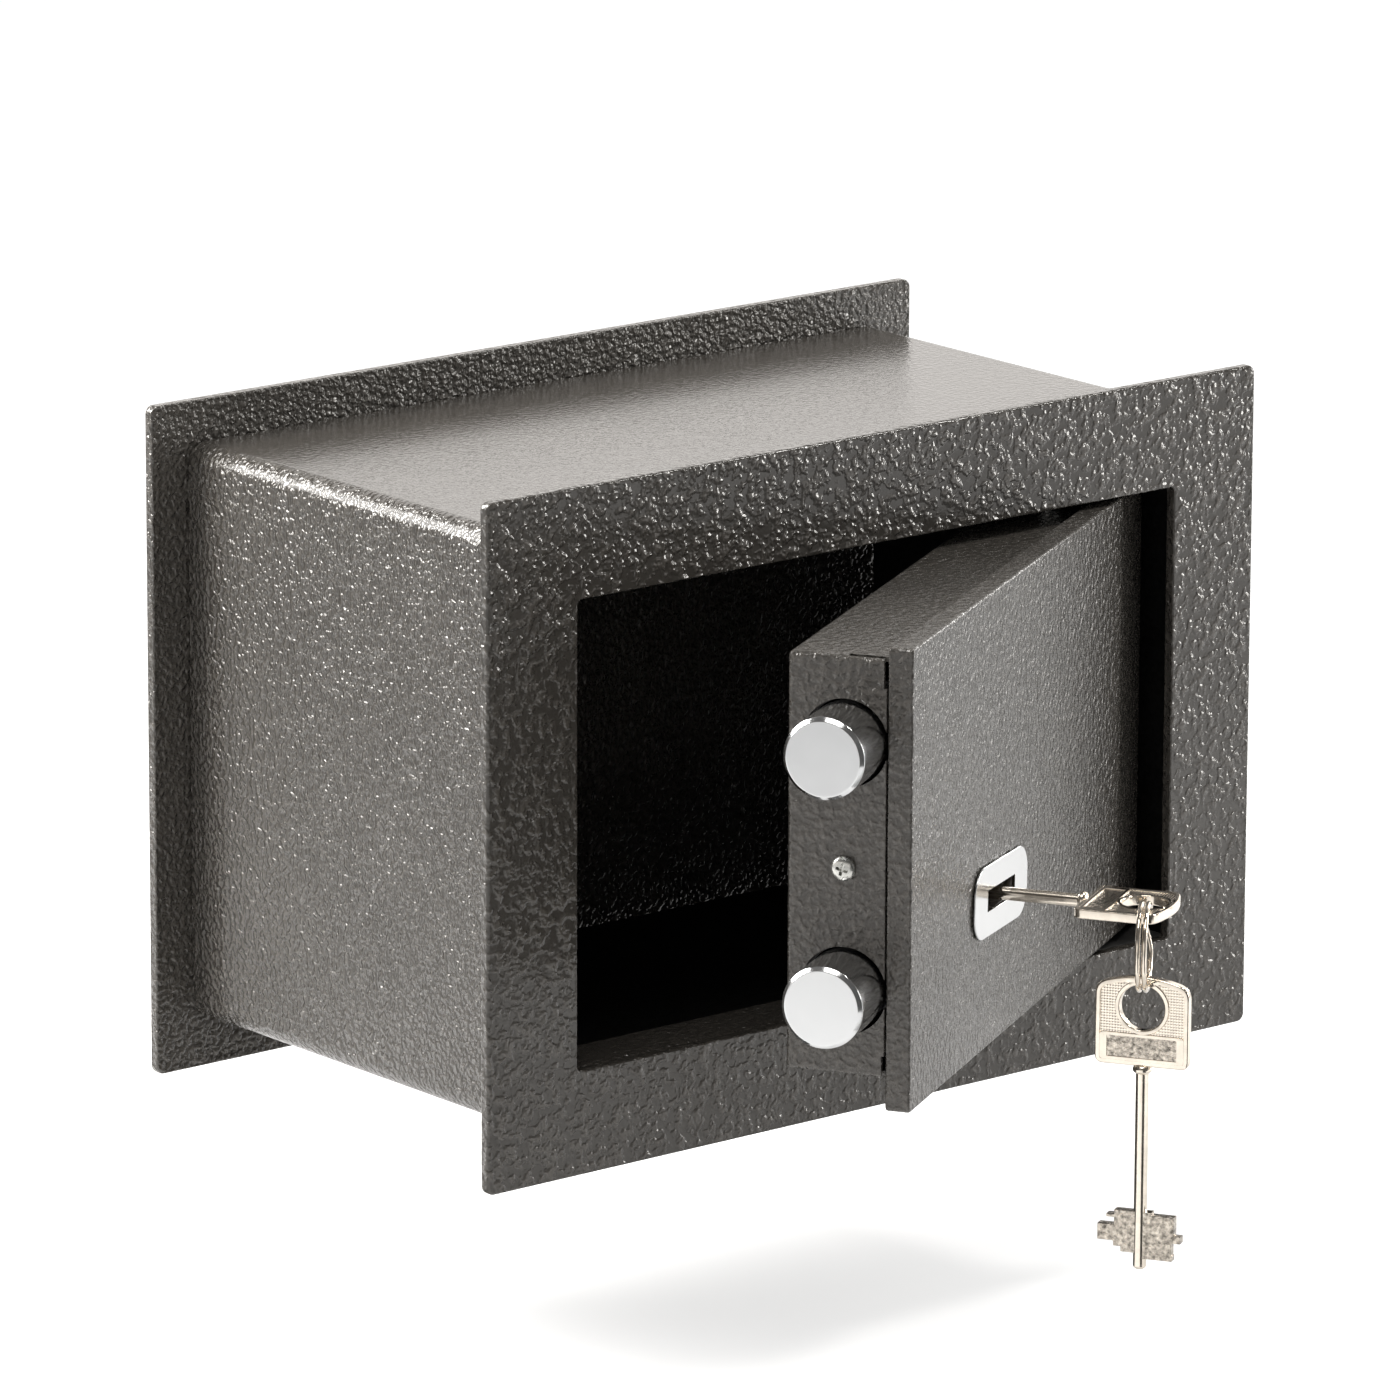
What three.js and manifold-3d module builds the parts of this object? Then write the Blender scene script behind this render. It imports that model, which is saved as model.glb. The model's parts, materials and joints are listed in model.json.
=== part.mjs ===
import * as THREE from 'three';
import { mergeVertices } from 'three/addons/utils/BufferGeometryUtils.js';
import Module from 'manifold-3d';

// Wall safe, in millimetres with +Z up.
// The pieces are drawn with the door shut: X runs to the right, Y into the wall and Z up, from the lower left
// corner of the front plate's outer face. The finished object's origin is the middle of the rear plate's back.

const wasm = await Module();
wasm.setup();

// Whole safe
const width = 280;
const height = 195;
const depth = 155;
const seamGap = 0.3;
const overrun = 1;

// Front and rear plates
const frontThickness = 3.5;
const rearThickness = 3.3;
const plateCornerRadius = 4;
const openingLeftMargin = 31.5;
const openingRightMargin = 30.5;
const openingLowerMargin = 30;
const openingUpperMargin = 31.5;
const openingCornerRadius = 1.5;

// Folded body between the plates
const bodySideMargin = 12.2;
const bodyLowerMargin = 15.2;
const bodyUpperMargin = 12.1;
const bodySheet = 1.8;
const bodyFoldRadius = 6;

// Sill strip behind the opening's lower edge
const sillOverlap = 7.5;
const sillDepth = 17;
const sillThickness = 3;
const sillEndGap = 2;

// Hinge
const hingeFromRight = 61;
const hingeBehindFace = 20;
const doorOpenDegrees = 31.4;
const pinRadius = 4;
const pinEndInset = 3;
const bracketThickness = 3;
const bracketFreeReach = 19;
const bracketJambReach = 33;
const bracketRearReach = 12;
const washerRadius = 8;
const washerThickness = 2.4;
const blockHalfWidth = 8;
const blockRearReach = 8;
const blockHeight = 28;

// Door plate
const doorFreeGap = 2.5;
const doorHingeGap = 3.5;
const doorLowerGap = 2;
const doorUpperGap = 2;
const doorThickness = 7.1;
const doorCornerRadius = 1.5;
const doorEdgeRounding = 0.8;

// Keyhole and its plate
const keyFromFreeEdge = 78.5;
const keyAboveLowerEdge = 42;
const slotLength = 24.8;
const slotHeight = 6;
const escutcheonWidth = 48;
const escutcheonHeight = 21;
const escutcheonThickness = 0.6;
const escutcheonCornerRadius = 7;
const escutcheonBulge = 0.7;
const escutcheonEdgeRounding = 0.2;
const escutcheonTiltDegrees = 3.4;

// Cover on the door's back
const coverUpperInset = 3;
const coverLowerInset = 9.5;
const coverHingeInset = 3;
const coverDepth = 28.1;
const coverSheet = 1.4;
const coverFoldRadius = 1.6;
const coverSlitWidth = 0.8;
const coverSlitDepth = 11;
const coverNotchDepth = 0.8;
const coverUpperNotchLength = 8.5;
const coverLowerNotchLength = 6;
const coverBlockClearance = 1.5;
const coverPinClearance = 1;
const coverBoltClearance = 0.8;

// Bolts, their bar and guide
const boltRadius = 11.5;
const boltBehindPlate = 12;
const boltLength = 45;
const boltThrow = 19;
const boltRim = 1.1;
const boltClearance = 0.3;
const lowerBoltAboveEdge = 33;
const upperBoltBelowEdge = 27.3;
const guideInset = 3;
const guideThickness = 6;
const guideEndShares = [0.04466, 0.05166];
const guideDepth = 25.6;
const barThickness = 4;
const barOverhang = 11;
const barHalfDepth = 10.1;
const barScrewRadius = 3;
const barScrewLength = 17;
const barScrewHeadRadius = 5.5;
const barScrewHeadHeight = 2.5;
const barScrewSlotWidth = 1.2;
const barScrewSlotDepth = 1;

// Cover screw
const coverScrewShare = 0.4971;
const coverScrewRadius = 2;
const coverScrewLength = 12;
const coverScrewHeadRadius = 3.5;
const coverScrewHeadHeight = 2;
const coverScrewHeadLand = 0.7;
const crossLength = 4.2;
const crossWidth = 0.9;
const crossDepth = 1.2;

// Lock case and lid
const barStopGap = 1.2;
const lockHingeReach = 42;
const lockLowerReach = 24;
const lockUpperReach = 44;
const lockWall = 2;
const lockDepth = 22.9;
const lidThickness = 1.4;
const pillarSize = 7;
const lockScrewRadius = 2;
const lockScrewHeadRadius = 3.4;
const lockScrewHeadHeight = 1.4;
const lockScrewBite = 3.2;
const tongueClearance = 0.6;
const lidKeyClearance = 0.4;

// Curtain that turns with the key
const curtainRadius = 16.5;
const curtainThickness = 3.5;
const journalRadius = 14;
const barrelRadius = 5.5;
const curtainSlotClearance = 0.3;
const curtainShankClearance = 0.4;
const barrelEndGap = 0.7;

// Lock bolt
const lockBoltThickness = 2.4;
const lockBoltInset = 0.5;
const lockBoltUpperReach = 23;
const lockBoltReach = 18;
const keySlotHalfHeight = 6;
const tongueLow = 7;
const tongueHigh = 21;
const stumpSize = 5;
const stumpAcross = 20.5;
const stumpUp = 17.5;
const stumpReach = 13.6;

// Levers, their post, stop and springs
const leverCount = 5;
const leverStart = 1.1;
const leverPitch = 2.6;
const leverThickness = 1.8;
const bellyRadius = 13.4;
const leverFreeReach = 17;
const leverLowerReach = 17;
const leverUpperReach = 28;
const leverShoulder = 15.5;
const leverHeel = 8;
const gateClearance = 1.8;
const gateLength = 22.5;
const postAcross = 29.5;
const postRadius = 2.5;
const leverEndRadius = 6.5;
const stopRadius = 1.8;
const stopAcross = 12.5;
const springRoot = 12;
const springReach = 20;
const springFoot = 3;
const springThickness = 0.6;
const springWidth = 1.4;
const springTipGap = 1.6;

// Key
const keyLength = 84;
const keyInsertion = 33;
const shankRadius = 1.85;
const tipChamfer = 0.7;
const collarRadius = 2.7;
const collarLength = 2;
const collarRounding = 0.6;
const bowWidth = 27;
const bowLength = 25.6;
const bowThickness = 2.8;
const bowArchRise = 2.6;
const bowShoulderRadius = 3;
const bowCornerRadius = 2.4;
const bowHoleRadius = 6.5;
const bowHoleFromTop = 8.8;
const bowRim = 1.5;
const bowHoleRim = 1.2;
const fieldDepth = 0.35;
const panelWidth = 19;
const panelHeight = 6.4;
const panelFromBase = 2.2;
const panelFrame = 0.7;
const bitHalfWidth = 12;
const bitLength = 13.5;
const bitFromTip = 3.2;
const bitThickness = 2.8;
const joinOverlap = 0.2;
// Each step of a bit: where it ends along the bit and how far out it reaches.
const doorSideBitShares = [[0.10, 0.60], [0.17, 0.79], [0.32, 0.60], [0.67, 1], [0.78, 0.62], [0.89, 0.44]];
const roomSideBitShares = [[0.06, 0.30], [0.46, 0.84], [0.61, 1], [0.89, 0.78], [1, 0.80]];

// Split ring and spare key
const ringInnerRadius = 11.25;
const ringWireRadius = 0.7;
const ringPitch = 1.85;
const ringRimOffset = 10;
const ringTowardsTop = 3;
const ringSeat = 0.7;
const ringTurnDegrees = 12;
const jogDegrees = 50;
const jogEndDegrees = 6;
const ringStepsPerTurn = 24;
const ringSides = 6;
const ringLeastGap = 0.4;
const spareHang = 5.2;

// Facets of a circle
const roundSteps = 32;
const smallSteps = 16;

// Places worked out from the sizes above
const openingX0 = openingLeftMargin;
const openingX1 = width - openingRightMargin;
const openingZ0 = openingLowerMargin;
const openingZ1 = height - openingUpperMargin;
const plateBack = frontThickness + seamGap;
const hingeX = width - hingeFromRight;
const hingeY = hingeBehindFace;
const doorX0 = openingX0 + doorFreeGap;
const doorX1 = openingX1 - doorHingeGap;
const doorZ0 = openingZ0 + doorLowerGap;
const doorZ1 = openingZ1 - doorUpperGap;
const doorRear = doorThickness + seamGap;
const keyX = doorX0 + keyFromFreeEdge;
const keyZ = doorZ0 + keyAboveLowerEdge;
const boltY = doorThickness + boltBehindPlate;
const boltHeights = [doorZ0 + lowerBoltAboveEdge, doorZ1 - upperBoltBelowEdge];
const boltX0 = doorX0 - boltThrow;
const boltX1 = boltX0 + boltLength;
const barX0 = boltX1 + seamGap;
const barX1 = barX0 + barThickness;
const coverX0 = doorX0;
const coverX1 = doorX1 - coverHingeInset;
const coverZ0 = doorZ0 + coverLowerInset;
const coverZ1 = doorZ1 - coverUpperInset;
const coverBack = doorRear + coverDepth;
const lockX0 = barX1 + boltThrow + barStopGap;
const lockX1 = keyX + lockHingeReach;
const lockZ0 = keyZ - lockLowerReach;
const lockZ1 = keyZ + lockUpperReach;
const lockFloor = doorRear + lockWall;
const lockRim = doorRear + lockDepth;
const lidFront = lockRim + seamGap;
const lidBack = lidFront + lidThickness;
const curtainFront = lockFloor + seamGap;
const curtainBack = curtainFront + curtainThickness;
const lockBoltFront = curtainBack + seamGap;
const lockBoltBack = lockBoltFront + lockBoltThickness;
const leverFront = lockBoltBack + leverStart;
const postX = keyX + postAcross;
const stumpX0 = keyX - stumpAcross;
const stumpZ0 = keyZ + stumpUp;
const keyholeY = keyInsertion - keyLength + bowHoleFromTop;

// Shapes and solids

function vectorShape(points) {
  return new THREE.Shape(points.map(([x, y]) => new THREE.Vector2(x, y)));
}

function roundedRectangle(x0, x1, y0, y1, radius, PathClass = THREE.Shape) {
  const path = new PathClass();
  path.moveTo(x0 + radius, y0);
  path.lineTo(x1 - radius, y0);
  path.absarc(x1 - radius, y0 + radius, radius, -Math.PI / 2, 0);
  path.lineTo(x1, y1 - radius);
  path.absarc(x1 - radius, y1 - radius, radius, 0, Math.PI / 2);
  path.lineTo(x0 + radius, y1);
  path.absarc(x0 + radius, y1 - radius, radius, Math.PI / 2, Math.PI);
  path.lineTo(x0, y0 + radius);
  path.absarc(x0 + radius, y0 + radius, radius, Math.PI, Math.PI * 3 / 2);
  return path;
}

function circlePath(x, y, radius) {
  const path = new THREE.Path();
  path.absarc(x, y, radius, 0, Math.PI * 2);
  return path;
}

// An outline seen from the front, given its depth from y0 to y1.
function upright(shape, y0, y1, rounding = 0, curveSegments = 6) {
  const bevel = rounding > 0 ? {
    bevelEnabled: true, bevelThickness: rounding, bevelSize: rounding, bevelOffset: -rounding, bevelSegments: 2,
  } : { bevelEnabled: false };
  const geometry = new THREE.ExtrudeGeometry(shape, { depth: y1 - y0 - rounding * 2, curveSegments, ...bevel });
  return geometry.rotateX(Math.PI / 2).translate(0, y1 - rounding, 0);
}

function box(x0, x1, y0, y1, z0, z1) {
  const geometry = new THREE.BoxGeometry(x1 - x0, y1 - y0, z1 - z0);
  return geometry.translate((x0 + x1) / 2, (y0 + y1) / 2, (z0 + z1) / 2);
}

// A turned piece: its profile is a list of [radius, distance along the axis].
function turned(profile, steps = roundSteps) {
  return new THREE.LatheGeometry(profile.map(([radius, along]) => new THREE.Vector2(radius, along)), steps);
}

function rod(radius, start, end, steps = roundSteps) {
  return turned([[0, start], [radius, start], [radius, end], [0, end]], steps);
}

function alongX(geometry, y, z) {
  return geometry.rotateZ(-Math.PI / 2).translate(0, y, z);
}

function alongY(geometry, x, z) {
  return geometry.translate(x, 0, z);
}

function alongZ(geometry, x, y) {
  return geometry.rotateX(Math.PI / 2).translate(x, y, 0);
}

function manifoldOf(geometry) {
  const bare = geometry.clone();
  bare.deleteAttribute('normal');
  bare.deleteAttribute('uv');
  const merged = mergeVertices(bare);
  return new wasm.Manifold(new wasm.Mesh({
    numProp: 3,
    vertProperties: new Float32Array(merged.attributes.position.array),
    triVerts: new Uint32Array(merged.index.array),
  }));
}

function geometryOf(manifold) {
  const mesh = manifold.getMesh();
  const geometry = new THREE.BufferGeometry();
  geometry.setAttribute('position', new THREE.BufferAttribute(new Float32Array(mesh.vertProperties), 3));
  geometry.setIndex(new THREE.BufferAttribute(new Uint32Array(mesh.triVerts), 1));
  geometry.computeVertexNormals();
  return geometry;
}

function cut(geometry, ...tools) {
  return geometryOf(tools.reduce((result, tool) => result.subtract(manifoldOf(tool)), manifoldOf(geometry)));
}

function join(...pieces) {
  return geometryOf(pieces.slice(1).reduce((result, piece) => result.add(manifoldOf(piece)), manifoldOf(pieces[0])));
}

// Materials

function material(color, roughness, metalness) {
  return new THREE.MeshStandardMaterial({ color, roughness, metalness });
}

const greyPaint = material(0x6f6c66, 0.55, 0.3);
const doorPaint = material(0x86837c, 0.5, 0.3);
const darkSteel = material(0x4a4a49, 0.6, 0.7);
const chrome = material(0xd4d6d8, 0.18, 1);
const satinSteel = material(0xb4b3b0, 0.38, 1);
const zincSteel = material(0xa9a8a1, 0.45, 0.9);
const brass = material(0xb59a5b, 0.35, 1);
const nickel = material(0xcfc9bb, 0.25, 1);

// Groups: the cabinet, and what turns with the door about the hinge

const safe = new THREE.Group();
const cabinet = new THREE.Group();
cabinet.position.set(-width / 2, -depth, -height / 2);
safe.add(cabinet);
const door = new THREE.Group();
door.position.set(hingeX, hingeY, 0);
door.rotation.z = THREE.MathUtils.degToRad(doorOpenDegrees);
cabinet.add(door);
const leaf = new THREE.Group();
leaf.position.set(-hingeX, -hingeY, 0);
door.add(leaf);

function place(group, name, geometry, surface) {
  const mesh = new THREE.Mesh(geometry, surface);
  mesh.name = name;
  group.add(mesh);
  return mesh;
}

// Cabinet

const frontOutline = roundedRectangle(0, width, 0, height, plateCornerRadius);
frontOutline.holes.push(
  roundedRectangle(openingX0, openingX1, openingZ0, openingZ1, openingCornerRadius, THREE.Path));
place(cabinet, 'front_plate', upright(frontOutline, 0, frontThickness), greyPaint);

place(cabinet, 'rear_plate', upright(
  roundedRectangle(0, width, 0, height, plateCornerRadius), depth - rearThickness, depth), greyPaint);

const shellX0 = bodySideMargin;
const shellX1 = width - bodySideMargin;
const shellZ0 = bodyLowerMargin;
const shellZ1 = height - bodyUpperMargin;
const shellOutline = roundedRectangle(shellX0, shellX1, shellZ0, shellZ1, bodyFoldRadius);
shellOutline.holes.push(roundedRectangle(shellX0 + bodySheet, shellX1 - bodySheet, shellZ0 + bodySheet,
  shellZ1 - bodySheet, bodyFoldRadius - bodySheet, THREE.Path));
place(cabinet, 'body_shell', upright(shellOutline, plateBack, depth - rearThickness - seamGap), greyPaint);

const bracketX0 = hingeX - bracketFreeReach;
const bracketX1 = hingeX + bracketJambReach;
const bracketY1 = hingeY + bracketRearReach;
const lowerBracketZ0 = openingZ0 - bracketThickness;
const upperBracketZ0 = openingZ1 + seamGap;
const upperBracketZ1 = upperBracketZ0 + bracketThickness;

place(cabinet, 'sill_strip', box(openingX0 - sillOverlap, bracketX0 - sillEndGap,
  plateBack, plateBack + sillDepth, openingZ0 - sillThickness, openingZ0), greyPaint);

function bracket(z0, z1) {
  return cut(box(bracketX0, bracketX1, plateBack, bracketY1, z0, z1),
    alongZ(rod(pinRadius + seamGap, z0 - overrun, z1 + overrun), hingeX, hingeY));
}
place(cabinet, 'hinge_bracket_lower', bracket(lowerBracketZ0, openingZ0), darkSteel);
place(cabinet, 'hinge_bracket_upper', bracket(upperBracketZ0, upperBracketZ1), darkSteel);

const washerZ0 = openingZ0 + seamGap;
const lowerBlockZ0 = washerZ0 + washerThickness + seamGap;
const lowerBlockZ1 = lowerBlockZ0 + blockHeight;
const upperBlockZ1 = coverZ1 - coverSheet - seamGap;
const upperBlockZ0 = upperBlockZ1 - blockHeight;
place(cabinet, 'hinge_washer', alongZ(turned([
  [pinRadius + seamGap, washerZ0], [washerRadius, washerZ0], [washerRadius, washerZ0 + washerThickness],
  [pinRadius + seamGap, washerZ0 + washerThickness], [pinRadius + seamGap, washerZ0]]), hingeX, hingeY), brass);
place(cabinet, 'hinge_pin_lower',
  alongZ(rod(pinRadius, lowerBracketZ0, lowerBlockZ1 - pinEndInset), hingeX, hingeY), satinSteel);
place(cabinet, 'hinge_pin_upper',
  alongZ(rod(pinRadius, upperBlockZ0 + pinEndInset, upperBracketZ1), hingeX, hingeY), satinSteel);

// Door plate with its keyhole, and the blocks that turn on the pins

const pillarX0 = lockX0 + lockWall;
const pillarX1 = lockX1 - lockWall - pillarSize;
const pillarZ0 = lockZ0 + lockWall;
const pillarZ1 = lockZ1 - lockWall - pillarSize;
const pillarCorners = [pillarX0, pillarX1].flatMap((x) => [pillarZ0, pillarZ1].map((z) => [x, z]));
const lockScrewPlaces = pillarCorners.map(([x, z]) => [x + pillarSize / 2, z + pillarSize / 2]);

const slotX0 = keyX - slotLength / 2;
const slotX1 = keyX + slotLength / 2;
const slotZ0 = keyZ - slotHeight / 2;
const slotZ1 = keyZ + slotHeight / 2;

function keySlot(y0, y1) {
  return box(slotX0, slotX1, y0 - overrun, y1 + overrun, slotZ0, slotZ1);
}

function lockScrewHoles(y0, y1) {
  return lockScrewPlaces.map(([x, z]) => alongY(rod(lockScrewRadius + seamGap, y0, y1, smallSteps), x, z));
}

const screwTip = doorThickness - lockScrewBite;
place(leaf, 'door_plate', cut(
  upright(roundedRectangle(doorX0, doorX1, doorZ0, doorZ1, doorCornerRadius), 0, doorThickness, doorEdgeRounding, 3),
  keySlot(0, doorThickness), ...lockScrewHoles(screwTip - seamGap, doorThickness + overrun)), doorPaint);

function hingeBlock(z0, z1) {
  return cut(box(hingeX - blockHalfWidth, hingeX + blockHalfWidth, doorRear, hingeY + blockRearReach, z0, z1),
    alongZ(rod(pinRadius + seamGap, z0 - overrun, z1 + overrun), hingeX, hingeY));
}
place(leaf, 'hinge_block_lower', hingeBlock(lowerBlockZ0, lowerBlockZ1), darkSteel);
place(leaf, 'hinge_block_upper', hingeBlock(upperBlockZ0, upperBlockZ1), darkSteel);

// Escutcheon: a thin plate with round corners and slightly bulged sides, which sits a little askew

function bulgedOutline(x, z, halfWidth, halfHeight, radius, bulge) {
  const innerX = halfWidth - bulge;
  const innerZ = halfHeight - bulge;
  const shape = new THREE.Shape();
  shape.moveTo(x - innerX + radius, z - innerZ);
  shape.quadraticCurveTo(x, z - innerZ - bulge * 2, x + innerX - radius, z - innerZ);
  shape.absarc(x + innerX - radius, z - innerZ + radius, radius, -Math.PI / 2, 0);
  shape.quadraticCurveTo(x + innerX + bulge * 2, z, x + innerX, z + innerZ - radius);
  shape.absarc(x + innerX - radius, z + innerZ - radius, radius, 0, Math.PI / 2);
  shape.quadraticCurveTo(x, z + innerZ + bulge * 2, x - innerX + radius, z + innerZ);
  shape.absarc(x - innerX + radius, z + innerZ - radius, radius, Math.PI / 2, Math.PI);
  shape.quadraticCurveTo(x - innerX - bulge * 2, z, x - innerX, z - innerZ + radius);
  shape.absarc(x - innerX + radius, z - innerZ + radius, radius, Math.PI, Math.PI * 3 / 2);
  return shape;
}
const escutcheonFront = -seamGap - escutcheonThickness;
const escutcheonPlate = cut(
  upright(bulgedOutline(keyX, keyZ, escutcheonWidth / 2, escutcheonHeight / 2, escutcheonCornerRadius,
    escutcheonBulge), escutcheonFront, -seamGap, escutcheonEdgeRounding),
  keySlot(escutcheonFront, -seamGap));
place(leaf, 'escutcheon', escutcheonPlate.translate(-keyX, 0, -keyZ)
  .rotateY(THREE.MathUtils.degToRad(escutcheonTiltDegrees)).translate(keyX, 0, keyZ), chrome);

// Cover: a folded tray, open towards the door plate

const coverScrewZ = boltHeights[0] + (boltHeights[1] - boltHeights[0]) * coverScrewShare;
const coverInsideX0 = coverX0 + coverSheet;
const coverInsideX1 = coverX1 - coverSheet;
const coverInsideZ0 = coverZ0 + coverSheet;
const coverInsideZ1 = coverZ1 - coverSheet;
const coverInsideHeight = coverInsideZ1 - coverInsideZ0;
const foldInside = coverFoldRadius - coverSheet;
const coverOutside = upright(roundedRectangle(coverX0, coverX1, coverZ0, coverZ1, coverFoldRadius),
  doorRear, coverBack);
const coverInside = upright(
  roundedRectangle(coverInsideX0, coverInsideX1, coverInsideZ0, coverInsideZ1, foldInside),
  doorRear - overrun, coverBack - coverSheet);
const coverTools = [
  coverInside,
  ...boltHeights.map((z) => alongX(
    rod(boltRadius + coverBoltClearance, coverX0 - overrun, coverInsideX0 + overrun), boltY, z)),
  alongX(rod(coverScrewRadius + seamGap, coverX0 - overrun, coverInsideX0 + overrun, smallSteps), boltY, coverScrewZ),
  box(hingeX - blockHalfWidth - coverBlockClearance, hingeX + blockHalfWidth + coverBlockClearance,
    doorRear - overrun, hingeY + blockRearReach + coverBlockClearance, coverZ0 - overrun, coverInsideZ0 + overrun),
  alongZ(rod(pinRadius + coverPinClearance, coverInsideZ1 - overrun, coverZ1 + overrun), hingeX, hingeY),
  box(coverInsideX0, coverInsideX0 + coverSlitWidth, doorRear - overrun, doorRear + coverSlitDepth,
    coverInsideZ1 - overrun, coverZ1 + overrun),
  box(coverInsideX0, coverInsideX0 + coverSlitWidth, doorRear - overrun, doorRear + coverSlitDepth,
    coverZ0 - overrun, coverInsideZ0 + overrun),
  box(coverX0 - overrun, coverInsideX0 + coverSlitWidth, doorRear - overrun, doorRear + coverNotchDepth,
    coverZ1 - coverUpperNotchLength, coverZ1 + overrun),
  box(coverX0 - overrun, coverInsideX0 + coverSlitWidth, doorRear - overrun, doorRear + coverNotchDepth,
    coverZ0 - overrun, coverZ0 + coverLowerNotchLength),
];
place(leaf, 'lock_cover', cut(coverOutside, ...coverTools), doorPaint);

// Screw with a cross recess, driven through the cover's end into the bolt guide

const headX1 = coverX0 - seamGap;
const headX0 = headX1 - coverScrewHeadHeight;
const domeShares = [[0.55, 0], [0.82, 0.3], [0.95, 0.65], [1, 1]];
const domeHeight = coverScrewHeadHeight - coverScrewHeadLand;
place(leaf, 'cover_screw', cut(
  alongX(turned([
    [0, headX0],
    ...domeShares.map(([out, down]) => [coverScrewHeadRadius * out, headX0 + domeHeight * down]),
    [coverScrewHeadRadius, headX1], [coverScrewRadius, headX1],
    [coverScrewRadius, headX1 + coverScrewLength], [0, headX1 + coverScrewLength]], 24), boltY, coverScrewZ),
  box(headX0 - overrun, headX0 + crossDepth, boltY - crossLength / 2, boltY + crossLength / 2,
    coverScrewZ - crossWidth / 2, coverScrewZ + crossWidth / 2),
  box(headX0 - overrun, headX0 + crossDepth, boltY - crossWidth / 2, boltY + crossWidth / 2,
    coverScrewZ - crossLength / 2, coverScrewZ + crossLength / 2)), zincSteel);

// Bolt guide: an upright plate with a slot for each bolt, open towards the door plate

const guideX0 = coverInsideX0 + guideInset - coverSheet;
const guideX1 = guideX0 + guideThickness;
const guideSlotHalf = boltRadius + boltClearance;
place(leaf, 'bolt_guide', cut(
  box(guideX0, guideX1, doorRear, doorRear + guideDepth,
    coverInsideZ0 + coverInsideHeight * guideEndShares[0], coverInsideZ1 - coverInsideHeight * guideEndShares[1]),
  ...boltHeights.map((z) => alongX(rod(guideSlotHalf, guideX0 - overrun, guideX1 + overrun), boltY, z)),
  ...boltHeights.map((z) => box(guideX0 - overrun, guideX1 + overrun, doorRear - overrun, boltY,
    z - guideSlotHalf, z + guideSlotHalf)),
  alongX(rod(coverScrewRadius + seamGap, guideX0 - overrun, guideX1 + overrun, smallSteps), boltY, coverScrewZ)),
darkSteel);

// Bolts, drawn thrown, and the bar that joins them

const barScrewX1 = barX1;
const barScrewX0 = barScrewX1 - barScrewLength;

function barScrewProfile(gap) {
  return [[0, barScrewX0 - gap], [barScrewRadius + gap, barScrewX0 - gap],
    [barScrewRadius + gap, barScrewX1 - barScrewHeadHeight - gap],
    [barScrewHeadRadius + gap, barScrewX1], [barScrewHeadRadius + gap, barScrewX1 + gap], [0, barScrewX1 + gap]];
}

function barScrewHole(z) {
  return alongX(turned(barScrewProfile(seamGap), smallSteps), boltY, z);
}

function boltGeometry(z) {
  const blank = alongX(turned([
    [0, boltX0], [boltRadius - boltRim, boltX0], [boltRadius, boltX0 + boltRim],
    [boltRadius, boltX1 - boltRim / 2], [boltRadius - boltRim / 2, boltX1], [0, boltX1]], 40), boltY, z);
  return cut(blank, barScrewHole(z));
}
place(leaf, 'bolt_lower', boltGeometry(boltHeights[0]), chrome);
place(leaf, 'bolt_upper', boltGeometry(boltHeights[1]), chrome);

const tongueZ0 = keyZ + tongueLow;
const tongueZ1 = keyZ + tongueHigh;
place(leaf, 'bolt_bar', cut(
  box(barX0, barX1, boltY - barHalfDepth, boltY + barHalfDepth,
    boltHeights[0] - barOverhang, boltHeights[1] + barOverhang),
  ...boltHeights.map(barScrewHole),
  box(barX0 - overrun, barX1 + overrun, lockBoltFront - seamGap, lockBoltBack + seamGap,
    tongueZ0 - seamGap, tongueZ1 + seamGap)), darkSteel);

boltHeights.forEach((z, index) => place(leaf, `bar_screw_${index + 1}`, cut(
  alongX(turned([
    [0, barScrewX0], [barScrewRadius, barScrewX0], [barScrewRadius, barScrewX1 - barScrewHeadHeight],
    [barScrewHeadRadius, barScrewX1], [0, barScrewX1]], smallSteps), boltY, z),
  box(barScrewX1 - barScrewSlotDepth, barScrewX1 + overrun, boltY - barScrewSlotWidth / 2,
    boltY + barScrewSlotWidth / 2, z - barScrewHeadRadius - overrun, z + barScrewHeadRadius + overrun)), zincSteel));

// Lock case with four pillars for its screws, and the lid

const lockInsideX0 = lockX0 + lockWall;
const lockInsideX1 = lockX1 - lockWall;
const lockInsideZ0 = lockZ0 + lockWall;
const lockInsideZ1 = lockZ1 - lockWall;
const caseTray = cut(
  box(lockX0, lockX1, doorRear, lockRim, lockZ0, lockZ1),
  box(lockInsideX0, lockInsideX1, lockFloor, lockRim + overrun, lockInsideZ0, lockInsideZ1));
const pillars = pillarCorners.map(([x, z]) => box(
  x - joinOverlap, x + pillarSize + joinOverlap, lockFloor - joinOverlap, lockRim,
  z - joinOverlap, z + pillarSize + joinOverlap));
place(leaf, 'lock_case', cut(
  join(caseTray, ...pillars),
  alongY(rod(journalRadius + seamGap, doorRear - overrun, lockFloor + overrun, 40), keyX, keyZ),
  box(lockX0 - overrun, lockInsideX0 + overrun, lockBoltFront - tongueClearance, lockBoltBack + tongueClearance,
    tongueZ0 - tongueClearance, tongueZ1 + tongueClearance),
  ...lockScrewHoles(doorRear - overrun, lockRim + overrun)), zincSteel);

place(leaf, 'lock_lid', cut(
  box(lockX0, lockX1, lidFront, lidBack, lockZ0, lockZ1),
  alongY(rod(shankRadius + lidKeyClearance, lidFront - overrun, lidBack + overrun, smallSteps), keyX, keyZ),
  ...lockScrewHoles(lidFront - overrun, lidBack + overrun)), zincSteel);

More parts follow.
